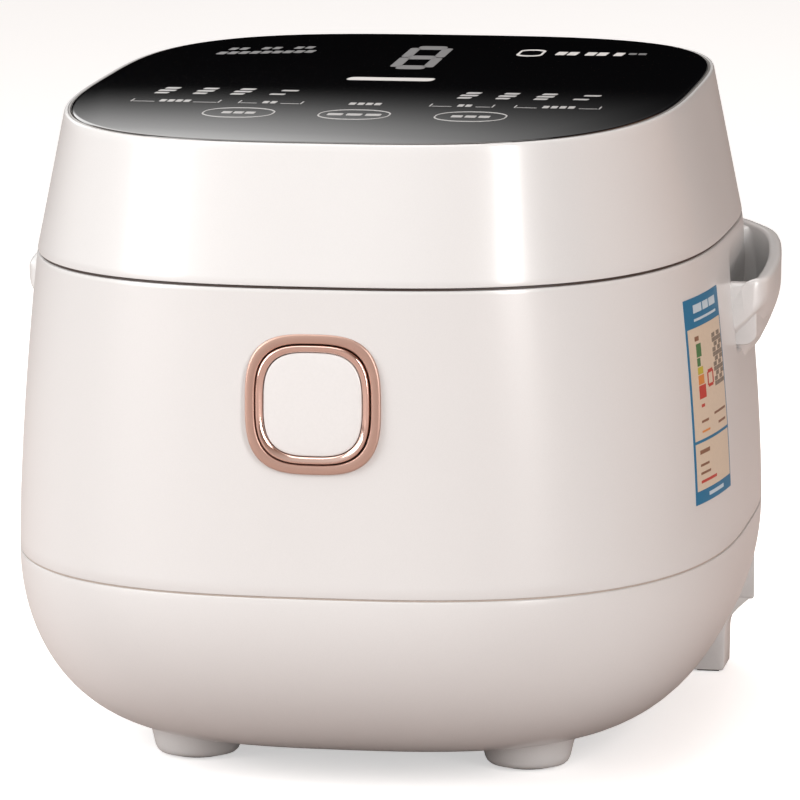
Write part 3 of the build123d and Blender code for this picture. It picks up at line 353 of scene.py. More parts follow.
def cut(piece, cutter, angle=32):
    """Takes the cutter out of the piece for good."""
    step = piece.modifiers.new("cut", "BOOLEAN")
    step.operation = "DIFFERENCE"
    step.solver = "EXACT"
    step.object = cutter
    data = bpy.data.meshes.new_from_object(piece.evaluated_get(bpy.context.evaluated_depsgraph_get()))
    piece.modifiers.clear()
    piece.data = data
    bpy.data.objects.remove(cutter)
    shade(piece, angle)


def rounded_rectangle(width, height, radius, count=10):
    """Corner points of a rounded rectangle about the origin."""
    points = []
    for quarter, (sx, sy) in enumerate(((1, 1), (-1, 1), (-1, -1), (1, -1))):
        for step in range(count + 1):
            turn = pi / 2 * (quarter + step / count)
            x = sx * (width / 2 - radius) + radius * cos(turn)
            y = sy * (height / 2 - radius) + radius * sin(turn)
            points.append((x, y))
    return points


def smooth_step(value, start, end):
    """0 before start, 1 after end, with an even change in between."""
    share = min(max((value - start) / (end - start), 0), 1)
    return share * share * (3 - 2 * share)


def soft_least(first, second, blend=3.0):
    """The smaller of two numbers, with an even change where they cross."""
    share = min(max(0.5 + 0.5 * (second - first) / blend, 0), 1)
    return second + (first - second) * share - blend * share * (1 - share)


def curve_at(points, value):
    """Smooth curve through (position, value) points in rising order of position."""
    positions = [point[0] for point in points]
    if value <= positions[0]:
        return points[0][1]
    if value >= positions[-1]:
        return points[-1][1]
    last = max(step for step in range(len(points) - 1) if positions[step] <= value)
    slopes = []
    for step in (last, last + 1):
        low = points[max(step - 1, 0)]
        high = points[min(step + 1, len(points) - 1)]
        slopes.append((high[1] - low[1]) / (high[0] - low[0]))
    span = positions[last + 1] - positions[last]
    share = (value - positions[last]) / span
    start = points[last][1]
    end = points[last + 1][1]
    a = (2 * share**3 - 3 * share**2 + 1) * start + (share**3 - 2 * share**2 + share) * span * slopes[0]
    b = (3 * share**2 - 2 * share**3) * end + (share**3 - share**2) * span * slopes[1]
    return a + b


# ---- Casing with its two hand pockets ----
def casing_ring(z, inset, pocket_x):
    """A ring of the casing at height z, pressed in to pocket_x where the hands go."""
    press_up = smooth_step(z, POCKET_FLOOR - 3, POCKET_FLOOR + 1)
    press_up *= 1 - smooth_step(z, POCKET_FLOOR + 8, POCKET_ROOF + 6)
    ring = []
    for x, y, height in plan(casing_size(z), inset, z):
        press = press_up * smooth_step(y, HANDLE_FRONT + 2, HANDLE_FRONT + 16)
        press *= 1 - smooth_step(y, HANDLE_REAR - 32, HANDLE_REAR - 10)
        reach = abs(x) - max(abs(x) - pocket_x, 0) * press
        ring.append((reach if x > 0 else -reach, y, height))
    return ring


levels = [BODY_BOTTOM + 0.5, 86, 92, 98, 104, 110, 116, 122, 128, 134, 140, 145, 148]
levels += [149 + 0.7 * step for step in range(7)]
levels += [156 + 2.2 * step for step in range(16)]
levels += [191, 193, BODY_TOP - 0.5]
rings = [casing_ring(BODY_BOTTOM + 0.15, 0.15, POCKET_INNER)]
rings += [casing_ring(z, 0, POCKET_INNER) for z in levels]
rings += [casing_ring(BODY_TOP - 0.15, 0.15, POCKET_INNER), casing_ring(BODY_TOP, 0.5, POCKET_INNER)]
rings += [casing_ring(BODY_TOP, WALL - 0.4, POCKET_INNER)]
rings += [casing_ring(z, WALL, POCKET_INNER - 2.2) for z in reversed(levels)]
rings += [casing_ring(BODY_BOTTOM, WALL - 0.4, POCKET_INNER), casing_ring(BODY_BOTTOM, 0.5, POCKET_INNER)]
casing = build("casing", *skin(rings, closed=True), WHITE)

front_y = PLAN_Y - casing_size(BUTTON_Z)[1]
opening_size = (46.6, 48.1)
opening = build("opening", *skin([squircle_ring(opening_size, front_y + out) for out in (-8, 12)]))
cut(casing, opening)


def hinge_cutter(half, radius=HINGE_CLEARANCE):
    """A bar along the hinge axis."""
    rings = []
    for x in (-half, half):
        ring = []
        for step in range(64):
            turn = 2 * pi * step / 64
            ring.append((x, HINGE_Y + radius * cos(turn), HINGE_Z + radius * sin(turn)))
        rings.append(ring)
    return build("hinge_cutter", *skin(rings))


cut(casing, hinge_cutter(32.2))
place(casing, "base", "shell_white", "body_shell")

# ---- Side handles ----
HANDLE_PLAN = (
    (HANDLE_FRONT, 141.6),
    (HANDLE_FRONT + 2, 144.2),
    (HANDLE_FRONT + 8, 146.6),
    (HANDLE_FRONT + 26, HANDLE_OUT),
    (HANDLE_REAR - 58, 146.7),
    (HANDLE_REAR - 25, 141.2),
    (HANDLE_REAR - 8, 131.0),
    (HANDLE_REAR - 3, 126.6),
    (HANDLE_REAR, 122.4),
)
HANDLE_UNDER = (
    (142.5, 134.2), (146, 136.0), (150, 138.1), (154, 140.0), (158.5, 142.2),
    (163, 144.4), (167, 146.3), (171, 147.7), (175, 148.6),
)
STATIONS = [0, 0.2, 0.6, 1.2, 2.0, 3.0, 4.0, 4.8, 5.4, 6.0, 6.8, 7.8, 9, 10.5]
STATIONS += [12, 14, 16, 18, 20, 22, 24, 26, 29, 32]
STATIONS += [36 + 4 * step for step in range(14)]
STATIONS += [91, 93.5, 95.5, 97, 98.5, 100, 102, 104, 107, 110]


def handle_section(along):
    """The (x, z) outline of a handle's slice, this far behind its front end."""
    y = HANDLE_FRONT + along
    end_round = 1 - min(along / 2.0, 1)
    shrink = 2.0 * (1 - (1 - end_round * end_round) ** 0.5)
    outer = curve_at(HANDLE_PLAN, y) - shrink * 0.4
    rim = HANDLE_TOP_FRONT + (HANDLE_TOP_REAR - HANDLE_TOP_FRONT) * along / 110 - shrink
    hollow = smooth_step(along, 4.0, 7.0) * (1 - smooth_step(along, 88, 98))
    floor = rim - 1.6 - (rim - 1.6 - POCKET_FLOOR) * hollow
    inner = outer - HANDLE_LIP * (0.85 + 0.15 * smooth_step(along, 3, 12))
    wall_there = casing_size(floor)[0] - 5
    root = wall_there + (POCKET_INNER - 0.8 - wall_there) * smooth_step(hollow, 0.0, 0.15)
    lowest = 142.5 + 16 * (1 - smooth_step(along, 0, 30)) + shrink
    section = []
    for step in range(25):
        z = 142.5 + 1.25 * step
        reach = soft_least(curve_at(HANDLE_UNDER, z), outer)
        section.append((reach, lowest + (z - 142.5) * (172.5 - lowest) / 30))
    for turn in (0, 18, 36, 54, 72, 90):
        section.append((outer - 2.0 + 2.0 * cos(radians(turn)), rim - 2.0 + 2.0 * sin(radians(turn))))
    for turn in (0, 18, 36, 54, 72, 90):
        section.append((inner + 1.6 - 1.6 * sin(radians(turn)), rim - 1.6 + 1.6 * cos(radians(turn))))
    fillet = min(5.0, max(rim - 1.6 - floor, 0.01))
    section.append((inner, (rim - 1.6 + floor + fillet) / 2))
    for turn in (0, 18, 36, 54, 72, 90):
        across = inner - fillet + fillet * cos(radians(turn))
        section.append((across, floor + fillet - fillet * sin(radians(turn))))
    section.append((root, floor))
    section.append((root, lowest))
    return [(x, y, z) for x, z in section]


for side, label in ((1, "right"), (-1, "left")):
    rings = [[(side * x, y, z) for x, y, z in handle_section(along)] for along in STATIONS]
    handle = build("handle_" + label, *skin(rings), WHITE, angle=55)
    place(handle, "base", "shell_white")

# ---- Base: bowl, rear housing and feet ----
def bowl_ring(inset, turn):
    """A ring of the bowl; turn runs from 0 at the seam to 90 at the flat underside."""
    drop = (BOWL_DEPTH - inset) * sin(radians(turn)) ** (2 / BOWL_POWER)
    share = 1 - max(cos(radians(turn)), 0.0) ** (2 / BOWL_POWER)
    size = [side - pull * share for side, pull in zip(BASE_SIZE, BOWL_PULL)]
    return plan(size, inset, BASE_TOP - drop)


rings = [bowl_ring(WALL, turn) for turn in range(90, 5, -6)]
rings += [plan(BASE_SIZE, WALL, BASE_TOP), plan(BASE_SIZE, 0.4, BASE_TOP)]
rings += [plan(BASE_SIZE, 0.1, BASE_TOP - 0.3)]
rings += [bowl_ring(0, turn) for turn in (1, 2, 3.5, 5, 7, 9)]
rings += [bowl_ring(0, turn) for turn in range(12, 91, 3)]
bowl = build("bowl", *skin(rings), WHITE)


def block(name, ring_low, ring_high, finish=None, angle=32):
    """A solid between two matching rings."""
    return build(name, *skin([ring_low, ring_high]), finish, angle)


for row in range(7):
    for x in (-19, 19):
        slot_ring = [(x + a, -8 + 9 * (row - 3) + b) for a, b in rounded_rectangle(30, 3, 1.49, 6)]
        cutter = block("slot_cutter", [(a, b, 4) for a, b in slot_ring], [(a, b, 20) for a, b in slot_ring])
        cut(bowl, cutter)


def housing_ring(inset, z, count=160):
    """A ring round the upright rear housing: the plan's rear part, closed by a straight front side."""
    half_width, rear = (BASE_SIZE[0] + 0.25 - inset, BASE_SIZE[2] + 0.25 - inset)
    power = CASING_POWERS[1]

    def at(turn):
        reach = (abs(cos(turn) / half_width) ** power + abs(sin(turn) / rear) ** power) ** (-1 / power)
        return reach * cos(turn), PLAN_Y + reach * sin(turn)

    low, high = 0.0, pi / 2
    for _ in range(40):
        middle = (low + high) / 2
        if at(middle)[1] < HOUSING_Y + inset:
            low = middle
        else:
            high = middle
    return [(*at(low + (pi - 2 * low) * step / count), z) for step in range(count + 1)]


rings = [housing_ring(WALL, HOUSING_BOTTOM + WALL), housing_ring(WALL, BASE_TOP)]
rings += [housing_ring(0.4, BASE_TOP), housing_ring(0.1, BASE_TOP - 0.3), housing_ring(0, BASE_TOP - 0.8)]
rings += [housing_ring(0, z) for z in (70, 60, 50, 40)]
rings += [housing_ring(0, HOUSING_BOTTOM + 1.5), housing_ring(0.2, HOUSING_BOTTOM + 0.7)]
rings += [housing_ring(0.6, HOUSING_BOTTOM + 0.2), housing_ring(1.3, HOUSING_BOTTOM)]
housing = build("rear_housing", *skin(rings), WHITE, angle=40)

inlet_y = PLAN_Y + BASE_SIZE[2]
for shell in (bowl, housing):
    for width, height, radius, near, far in ((38.8, 30.8, 3.4, -1.9, 9), (31, 23, 1.0, -24, 9)):
        loop = rounded_rectangle(width, height, radius)
        near_ring = [(a, inlet_y + near, INLET_Z + b) for a, b in loop]
        far_ring = [(a, inlet_y + far, INLET_Z + b) for a, b in loop]
        cut(shell, block("inlet_cutter", near_ring, far_ring))
place(bowl, "base", "shell_white", "base_shell")
place(housing, "base", "shell_white")

FOOT_SETBACK = 0.35
FOOT_FLARE = ((17, REAR_FOOT_X[1]), (19.5, 118.9), (22, 119.8), (24.5, 121.4), (27, 123.6))
FOOT_FLARE += ((29, 125.8), (31, 128.0))
for side, label in ((1, "right"), (-1, "left")):
    loop = [(REAR_FOOT_X[0], 33), (REAR_FOOT_X[0], 2.0), (104.6, 1.1), (105.6, 0.8)]
    loop += [(116.6, 0.8), (117.6, 1.1), (118.2, 2.2), (118.4, 8)]
    loop += [(x, z) for z, x in FOOT_FLARE] + [(128.0, 33)]
    rings = []
    for along, inset in ((0, 0.9), (0.25, 0.3), (0.9, 0), (19.1, 0), (19.75, 0.3), (REAR_FOOT_DEPTH, 0.9)):
        middle = (111, 20)
        ring = []
        for x, z in loop:
            x = x + inset if x < middle[0] else x - inset
            z = z + inset if z < 5 else z
            ring.append((side * x, HOUSING_Y + FOOT_SETBACK + along, z))
        rings.append(ring)
    foot = build("rear_foot_" + label, *skin(rings), WHITE, angle=40)
    place(foot, "base", "shell_white")
    profile = [(0, 26), (0, 0.8), (10.2, 0.8), (13.2, 0.9), (14.6, 1.3), (15.6, 2.2), (16.3, 3.6)]
    profile += [(16.8, 5.5), (17.2, 7.5), (17.7, 9.5), (18.5, 11.8), (19.8, 14.2), (21.8, 16.6)]
    profile += [(24.4, 18.6), (24.4, 26)]
    front_foot = lathe("front_foot_" + label, profile, WHITE, (side * FRONT_FOOT[0], FRONT_FOOT[1]), 96, 40)
    place(front_foot, "base", "shell_white")

# ---- Lid ----
def lid_ring(share, inset, lift=0.0):
    """A ring of the lid; share runs from 0 at its lower edge to 1 at the glass edge."""
    low = plan(LID_SEAM_SIZE, inset, LID_BOTTOM)
    high = plan(GLASS_SIZE, inset, glass_height(0), GLASS_POWERS)
    ring = []
    for a, b in zip(low, high):
        x, y, z = (p + (q - p) * share for p, q in zip(a, b))
        ring.append((x, y, z + lift))
    return ring


rings = [lid_ring(0, 0.55), lid_ring(0.003, 0.15), lid_ring(0.01, 0)]
rings += [lid_ring(0.06 + 0.088 * step, 0) for step in range(11)]
rings += [lid_ring(0.985, 0), lid_ring(1, 0.12, -0.25), lid_ring(1, 0.35, -0.05), lid_ring(1, 0.7, 0)]
rings += [lid_ring(1, 1.1, 0), lid_ring(1, 1.3, -0.15), lid_ring(1, 1.3, -3.0), lid_ring(1, 5.0, -3.0)]
rings += [lid_ring(1, 5.0, -4.0), lid_ring(0.94, WALL), lid_ring(0.5, WALL)]
rings += [lid_ring(0.02, WALL), lid_ring(0, WALL - 0.4)]
lid = build("lid_case", *skin(rings, closed=True), WHITE)
cut(lid, hinge_cutter(54.4))
ARM_TOP = HINGE_Z + 6.6
loop = [(HINGE_Y - 12, HINGE_Z - 6), (HINGE_Y + 9, HINGE_Z - 6)]
loop += [(HINGE_Y + 4, ARM_TOP), (HINGE_Y - 12, ARM_TOP)]
cut(lid, block("arm_cutter", [(-31.9, y, z) for y, z in loop], [(31.9, y, z) for y, z in loop]))

lid_rear_top = GLASS_Z + GLASS_SLOPE * (PLAN_Y + GLASS_SIZE[2])
rear_slope = (LID_SEAM_SIZE[2] - GLASS_SIZE[2]) / (lid_rear_top - LID_BOTTOM)
vent_lean = atan(rear_slope)
vent_y = PLAN_Y + LID_SEAM_SIZE[2] - rear_slope * (VENT_Z - LID_BOTTOM)
vent_rings = []
for out in (-12, 8):
    ring = []
    for a, b in rounded_rectangle(47, 23, 4):
        y = vent_y + out * cos(vent_lean) - b * sin(vent_lean)
        ring.append((a, y, VENT_Z + out * sin(vent_lean) + b * cos(vent_lean)))
    vent_rings.append(ring)
cut(lid, block("vent_cutter", *vent_rings))
place(lid, "lid", "shell_white", "lid_shell")

# ---- Glass top with its polished edge, and the trim round it ----
def glass_ring(inset, offset):
    """A ring on the glass, offset above the glass plane."""
    return plan(GLASS_SIZE, inset, glass_height(offset), GLASS_POWERS)


rings = [glass_ring(2.6, -2.9), glass_ring(2.4, -2.7), glass_ring(2.4, -0.1), glass_ring(2.46, 0.12)]
rings += [glass_ring(2.62, 0.31), glass_ring(2.85, 0.43), glass_ring(3.2, 0.49), glass_ring(3.7, 0.5)]
glass = build("glass_top", *skin(rings), GLASS, angle=50)
place(glass, "lid", "black_glass", "touch_glass")

rings = [glass_ring(1.42, -2.85), glass_ring(1.42, -0.12), glass_ring(1.55, 0.02), glass_ring(1.8, 0.08)]
rings += [glass_ring(2.05, 0.02), glass_ring(2.18, -0.12), glass_ring(2.18, -2.85)]
trim = build("glass_rim", *skin(rings, closed=True), TRIM)
place(trim, "lid", "trim_dark", "glass_trim")

# ---- Painted shade in the seams: strips set in the gaps, coloured like the shadow that falls there ----
# painted shade: a near-black strip in the lid seam's gap stands for the shadow there
rings = [plan(LID_SEAM_SIZE, 1.0, BODY_TOP - 0.6), plan(LID_SEAM_SIZE, 1.0, LID_BOTTOM - 0.25)]
rings += [plan(LID_SEAM_SIZE, 2.2, LID_BOTTOM - 0.25), plan(LID_SEAM_SIZE, 2.2, BODY_TOP - 0.6)]
lid_shade_strip = build("lid_seam_shade_strip", *skin(rings, closed=True), LID_GAP_SHADE)
cut(lid_shade_strip, hinge_cutter(54.8, 8.0))
place(lid_shade_strip, "base", "black_plastic")
# painted shade: a grey-brown strip in the base seam's gap stands for the shadow there
rings = [plan(BASE_SIZE, 0.7, BASE_TOP - 0.5), plan(BASE_SIZE, 0.7, BODY_BOTTOM + 0.5)]
rings += [plan(BASE_SIZE, 1.6, BODY_BOTTOM + 0.5), plan(BASE_SIZE, 1.6, BASE_TOP - 0.5)]
base_shade_strip = build("base_seam_shade_strip", *skin(rings, closed=True), BASE_GAP_SHADE)
place(base_shade_strip, "base", "shell_white")

# ---- Printing on the glass: thin raised shapes ----
PRINT_LOW = 0.47
PRINT_HIGH = 0.54


def print_point(x, y, offset):
    """A point above the glass plane."""
    return (x, y, GLASS_Z + GLASS_SLOPE * y + offset)


def print_shape(loop, hole=None):
    """Points and faces of a thin raised shape; hole is a matching inner loop."""
    if hole is None:
        return skin([[print_point(x, y, h) for x, y in loop] for h in (PRINT_LOW, PRINT_HIGH)])
    order = ((loop, PRINT_LOW), (loop, PRINT_HIGH), (hole, PRINT_HIGH), (hole, PRINT_LOW))
    return skin([[print_point(x, y, h) for x, y in ring] for ring, h in order], closed=True)


def gather(name, shapes, finish):
    """One object from several sets of points and faces."""
    points = []
    faces = []
    for some_points, some_faces in shapes:
        faces += [tuple(len(points) + corner for corner in face) for face in some_faces]
        points += some_points
    return build(name, points, faces, finish)


def bar(x, y, width, height, lean=0.0, round_share=0.0):
    """A printed bar about (x, y)."""
    radius = max(min(width, height) / 2 * round_share, 0.05)
    loop = [(x + a + lean * b, y + b) for a, b in rounded_rectangle(width, height, radius, 5)]
    return print_shape(loop)


def frame_shape(x, y, width, height, line, round_share, line_along):
    """A printed outline of a rounded rectangle, with its own line width across and along."""
    radius = min(width, height) / 2 * round_share
    loop = rounded_rectangle(width, height, radius, 12)
    hole = [(x + a * (1 - 2 * line / width), y + b * (1 - 2 * line_along / height)) for a, b in loop]
    return print_shape([(x + a, y + b) for a, b in loop], hole)


shapes = []
KEY_Y = PLAN_Y - 103
for x, words in ((-44, 13), (0, 21), (44, 15)):
    shapes.append(frame_shape(x, KEY_Y, 27, 28, 0.55, 0.9, 1.9))
    for step in range(3):
        shapes.append(bar(x + (step - 1) * words / 2.9, KEY_Y, words / 3.6, 5.5, round_share=0.3))
ICON_Y = PLAN_Y - 43
for x in (-83, -68, -53.4, 34.7, 49.5, 64.1):
    shapes.append(bar(x + 0.4, ICON_Y + 6, 5.6, 4.4, 0.12, 0.4))
    shapes.append(bar(x - 0.4, ICON_Y - 1, 6.6, 4.0, 0.12, 0.4))
    shapes.append(bar(x - 1.2, ICON_Y - 8, 5.2, 4.0, 0.12, 0.4))
for x in (-37.6, 79.8):
    shapes.append(bar(x + 1.4, ICON_Y + 4, 6.4, 3.4, 0.12, 0.4))
    shapes.append(bar(x - 1.6, ICON_Y - 7, 5.8, 3.4, 0.12, 0.4))
NOTE_Y = PLAN_Y - 73
for x, width in ((-74.4, 12.5), (-37.8, 6), (-1, 13), (37.1, 6), (72.9, 13)):
    count = round(width / 3)
    for step in range(count):
        middle = x + (step + 0.5 - count / 2) * width / count
        shapes.append(bar(middle, NOTE_Y, width / count * 0.74, 6, round_share=0.3))
BRACKETS = (
    (-90.9, -57.2, -80.6, -68.2),
    (-49.3, -25.3, -41, -34.4),
    (24.2, 48, 33.8, 40.4),
    (56.5, 88.7, 66.2, 79.6),
)
for left, right, low, high in BRACKETS:
    for x in (left, right):
        shapes.append(bar(x, NOTE_Y, 0.5, 7))
    shapes.append(bar((left + low) / 2 - 0.3, NOTE_Y - 3, low - left - 2, 0.7))
    shapes.append(bar((right + high) / 2 + 0.3, NOTE_Y - 3, right - high - 2, 0.7))
place(gather("glass_keys", shapes, PRINT), "lid", "black_glass")

shapes = [bar(-3.6, PLAN_Y, 34, 9, 0.1, 0.6)]
shapes.append(frame_shape(39, PLAN_Y + 88, 10.5, 22, 1.0, 0.95, 3.0))
for x, width in ((53.7, 9.5), (65.7, 9.5), (74.8, 4.5)):
    count = max(1, round(width / 4.6))
    for step in range(count):
        middle = x + (step + 0.5 - count / 2) * width / count
        shapes.append(bar(middle, PLAN_Y + 88, width / count * 0.82, 10, 0.05, 0.4))
place(gather("glass_badges", shapes, PRINT_BRIGHT), "lid", "black_glass")

# the display's figure, and the faint marks behind it
shapes = []
FIGURE_X = -2.5
FIGURE_Y = PLAN_Y + 68
LEAN = -0.02
for row in (-1, 0, 1):
    shapes.append(bar(FIGURE_X + LEAN * 31 * row, FIGURE_Y + 31 * row, 11.5, 11.5, LEAN, 0.5))
for side in (-1, 1):
    for row in (-0.5, 0.5):
        shapes.append(bar(FIGURE_X + side * 6.6 + LEAN * 31 * row, FIGURE_Y + 31 * row, 4.2, 29, LEAN, 0.8))
for step in range(9):
    shapes.append(bar(-85 + 4.3 * step, PLAN_Y + 72 + 1.2 * step, 3.4, 8, 0.1, 0.4))
    if step % 3 != 2:
        shapes.append(bar(-83 + 4.3 * step, PLAN_Y + 86 + 1.2 * step, 3.0, 7, 0.1, 0.4))
for step in range(2):
    shapes.append(bar(80 + 4 * step, PLAN_Y + 90, 3.2, 5, round_share=0.4))
place(gather("glass_display", shapes, PRINT_DIM), "lid", "black_glass")

# ---- Release button: fixed frame, pressed ring and cap ----
BEZEL = (50.0, 51.5)
BEZEL_OPENING = (43.0, 44.5)
RING = (42.0, 43.5)
RING_OPENING = (36.8, 38.4)
CAP_SIZE = (36.2, 37.8)


def between(outer, inner, share):
    """A size part of the way from an outer size to an inner one."""
    return tuple(a + (b - a) * share for a, b in zip(outer, inner))


def button_sweep(outer, inner, profile):
    """Rings for a squircle frame; profile lists (share of the way in, height above the face)."""
    return [squircle_ring(between(outer, inner, share), front_y - out) for share, out in profile]


profile = ((0.02, -2.5), (0, 0.2), (0.02, 0.6), (0.09, 0.95), (0.2, 1.1), (0.86, 1.1), (0.95, 0.98))
profile += ((1, 0.7), (1, -2.5))
sweep = button_sweep(BEZEL, BEZEL_OPENING, profile)
bezel = build("button_frame", *skin(sweep, closed=True), ROSE_SATIN, angle=50)
place(bezel, "base", "rose_gold_satin", "button_bezel")
profile = ((0, -2.0), (0, 1.0), (0.04, 1.4), (0.12, 1.7), (0.24, 1.88), (0.36, 1.9), (0.92, 1.0))
profile += ((1, 0.7), (1, -2.0))
sweep = button_sweep(RING, RING_OPENING, profile)
ring = build("button_ring_trim", *skin(sweep, closed=True), ROSE_POLISHED, angle=50)
place(ring, "release_button", "rose_gold_polished", "button_ring")
rings = [squircle_ring(between(CAP_SIZE, (0.2, 0.2), share), front_y - out) for share, out in (
    (0.0, -1.8), (0.0, 0.5), (0.008, 0.72), (0.022, 0.85), (0.05, 0.96), (0.12, 1.08),
    (0.25, 1.2), (0.4, 1.29), (0.6, 1.36), (0.8, 1.39), (1.0, 1.4),
)]
cap = build("button_face", *skin(rings), CAP, angle=50)
place(cap, "release_button", "cap_white", "button_cap")

# ---- Energy sticker: thin sheets that follow the casing's side ----
STICKER_FRONT = PLAN_Y - 101
STICKER_REAR = PLAN_Y - 53
STICKER_LOW = 104.0
STICKER_HIGH = 181.0


def wall_point(y, z, offset):
    """A point on the casing's right side, offset outwards from it."""
    half_width, front, rear = casing_size(z)
    depth, power = (rear, CASING_POWERS[1]) if y > PLAN_Y else (front, CASING_POWERS[0])
    along = abs(y - PLAN_Y) / depth
    x = half_width * (1 - along**power) ** (1 / power)
    steep = (along * half_width / x) ** (power - 1) * half_width / depth
    length = (1 + steep * steep) ** 0.5
    turn = 1 if y > PLAN_Y else -1
    return (x + offset / length, y + turn * offset * steep / length, z)


def patch(front, rear, low, high, layer):
    """A thin sheet given in sticker shares: front to rear and low to high, from 0 to 1."""
    offsets = (0.02, 0.30 + 0.05 * layer)
    across = max(2, round(28 * (rear - front)))
    up = max(1, round(24 * (high - low)))
    points = []
    for offset in offsets:
        for row in range(up + 1):
            z = STICKER_LOW + (STICKER_HIGH - STICKER_LOW) * (low + (high - low) * row / up)
            for step in range(across + 1):
                share = front + (rear - front) * step / across
                points.append(wall_point(STICKER_FRONT + (STICKER_REAR - STICKER_FRONT) * share, z, offset))
    width = across + 1
    sheet = width * (up + 1)
    faces = []
    for row in range(up):
        for step in range(across):
            a = row * width + step
            faces.append((a, a + 1, a + width + 1, a + width))
            faces.append((sheet + a, sheet + a + 1, sheet + a + width + 1, sheet + a + width))
    edge = list(range(width)) + [row * width + across for row in range(1, up + 1)]
    edge += [up * width + step for step in reversed(range(across))]
    edge += [row * width for row in reversed(range(1, up))]
    for a, b in zip(edge, edge[1:] + edge[:1]):
        faces.append((a, b, sheet + b, sheet + a))
    return points, faces


STICKER_PRINTS = (
    ("sticker_sheet", STICKER_BLUE, ((0, 1, 0, 1, 0),)),
    ("sticker_panel", STICKER_CREAM, ((0.03, 0.97, 0.31, 0.855, 1), (0.03, 0.97, 0.065, 0.295, 1))),
    ("sticker_header", STICKER_PALE, (
        (0.20, 0.42, 0.925, 0.965, 1), (0.45, 0.62, 0.925, 0.965, 1), (0.65, 0.86, 0.925, 0.965, 1),
        (0.20, 0.86, 0.885, 0.897, 1), (0.30, 0.72, 0.024, 0.042, 1),
    )),
    ("sticker_green", STICKER_GREEN, ((0.19, 0.31, 0.71, 0.775, 2), (0.19, 0.27, 0.665, 0.705, 2))),
    ("sticker_yellow", STICKER_YELLOW, ((0.19, 0.32, 0.625, 0.66, 2),)),
    ("sticker_orange", STICKER_ORANGE, ((0.19, 0.33, 0.575, 0.62, 2), (0.20, 0.40, 0.34, 0.35, 2))),
    ("sticker_red", STICKER_RED, (
        (0.19, 0.36, 0.505, 0.57, 2), (0.42, 0.45, 0.555, 0.62, 2), (0.57, 0.60, 0.555, 0.62, 2),
        (0.44, 0.58, 0.613, 0.63, 2), (0.44, 0.58, 0.545, 0.56, 2),
        (0.22, 0.30, 0.463, 0.478, 2), (0.12, 0.52, 0.098, 0.112, 2),
    )),
    ("sticker_brown", STICKER_BROWN, (
        (0.17, 0.27, 0.79, 0.812, 2), (0.20, 0.38, 0.388, 0.40, 2),
        (0.55, 0.92, 0.40, 0.412, 2), (0.66, 0.90, 0.346, 0.358, 2),
        (0.12, 0.36, 0.24, 0.26, 2), (0.12, 0.33, 0.18, 0.192, 2), (0.12, 0.36, 0.14, 0.152, 2),
    )),
)
for name, finish, parts in STICKER_PRINTS:
    sheet = gather(name, [patch(*part) for part in parts], finish)
    place(sheet, "base", "sticker", *(("side_sticker",) if name == "sticker_sheet" else ()))
cells = []
for row in range(11):
    for step in range(6):
        if (row * 5 + step * 3 + row * step) % 3 != 1:
            low = 0.533 + 0.0238 * row
            front = 0.64 + 0.054 * step
            cells.append(patch(front, front + 0.05, low, low + 0.021, 2))
place(gather("sticker_cells", cells, STICKER_GREY), "base", "sticker")

# ---- Inside: pot ----
pot_profile = [(0, 58.3)]
for turn in range(0, 91, 5):
    pot_profile.append((80.5 + 30 * sin(radians(turn)), 88.3 - 30 * cos(radians(turn))))
pot_profile += [(110.5, 120), (110.5, 160), (110.5, 189.0), (110.9, 190.3), (111.9, 190.9)]
pot_profile += [(113.5, 191.0), (116.6, 190.7), (117.6, 190.75), (118.0, 191.3), (117.6, 191.8)]
pot_profile += [(116.5, 192.0), (112.0, 192.0), (109.8, 191.6), (108.8, 190.6)]
pot_profile += [(108.5, 189.0), (108.5, 160), (108.5, 120)]
for turn in range(90, -1, -5):
    pot_profile.append((80.5 + 28 * sin(radians(turn)), 88.3 - 28 * cos(radians(turn))))
pot_profile += [(0, 60.3)]
pot = lathe("pot_body", pot_profile, POT, angle=40)
place(pot, "inner_pot", "nonstick_pot", "inner_pot")

# ---- Springs for the button and the sensor ----
def spring(name, node, axis, wire, turns):
    """A coil that fills the node's box along its axis, 1 for Y and 2 for Z."""
    low, high = ([corner / MM for corner in side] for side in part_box(node))
    across = [side for side in (0, 1, 2) if side != axis]
    middle = [(low[side] + high[side]) / 2 for side in across]
    radius = (high[0] - low[0]) / 2 - wire / 2
    steps = turns * 40
    rings = []
    for step in range(steps + 1):
        turn = 2 * pi * turns * step / steps
        along = low[axis] + wire / 2 + (high[axis] - low[axis] - wire) * step / steps
        ring = []
        for corner in range(10):
            swing = 2 * pi * corner / 10
            reach = radius + wire / 2 * cos(swing)
            point = [0.0, 0.0, 0.0]
            point[across[0]] = middle[0] + reach * cos(turn)
            point[across[1]] = middle[1] + reach * sin(turn)
            point[axis] = along + wire / 2 * sin(swing)
            ring.append(tuple(point))
        rings.append(ring)
    piece = build(name, *skin(rings), STEEL, angle=60)
    place(piece, "base", "steel", node)
    return piece


sensor_coil = spring("sensor_coil", "sensor_spring", 2, 1.0, 4)
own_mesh(sensor_coil)
button_coil = spring("button_coil", "button_spring", 1, 0.8, 4)
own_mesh(button_coil)

# ---- Studio ----
floor_data = bpy.data.meshes.new("floor")
floor_data.from_pydata([(-30, -30, 0), (30, -30, 0), (30, 30, 0), (-30, 30, 0)], [], [(0, 1, 2, 3)])
floor = bpy.data.objects.new("floor", floor_data)
floor_data.materials.append(FLOOR)
bpy.context.scene.collection.objects.link(floor)
floor_shader = FLOOR.node_tree.nodes["Principled BSDF"]
floor_shader.inputs["Emission Color"].default_value = (1.0, 1.0, 1.0, 1)
floor_shader.inputs["Emission Strength"].default_value = 0.5

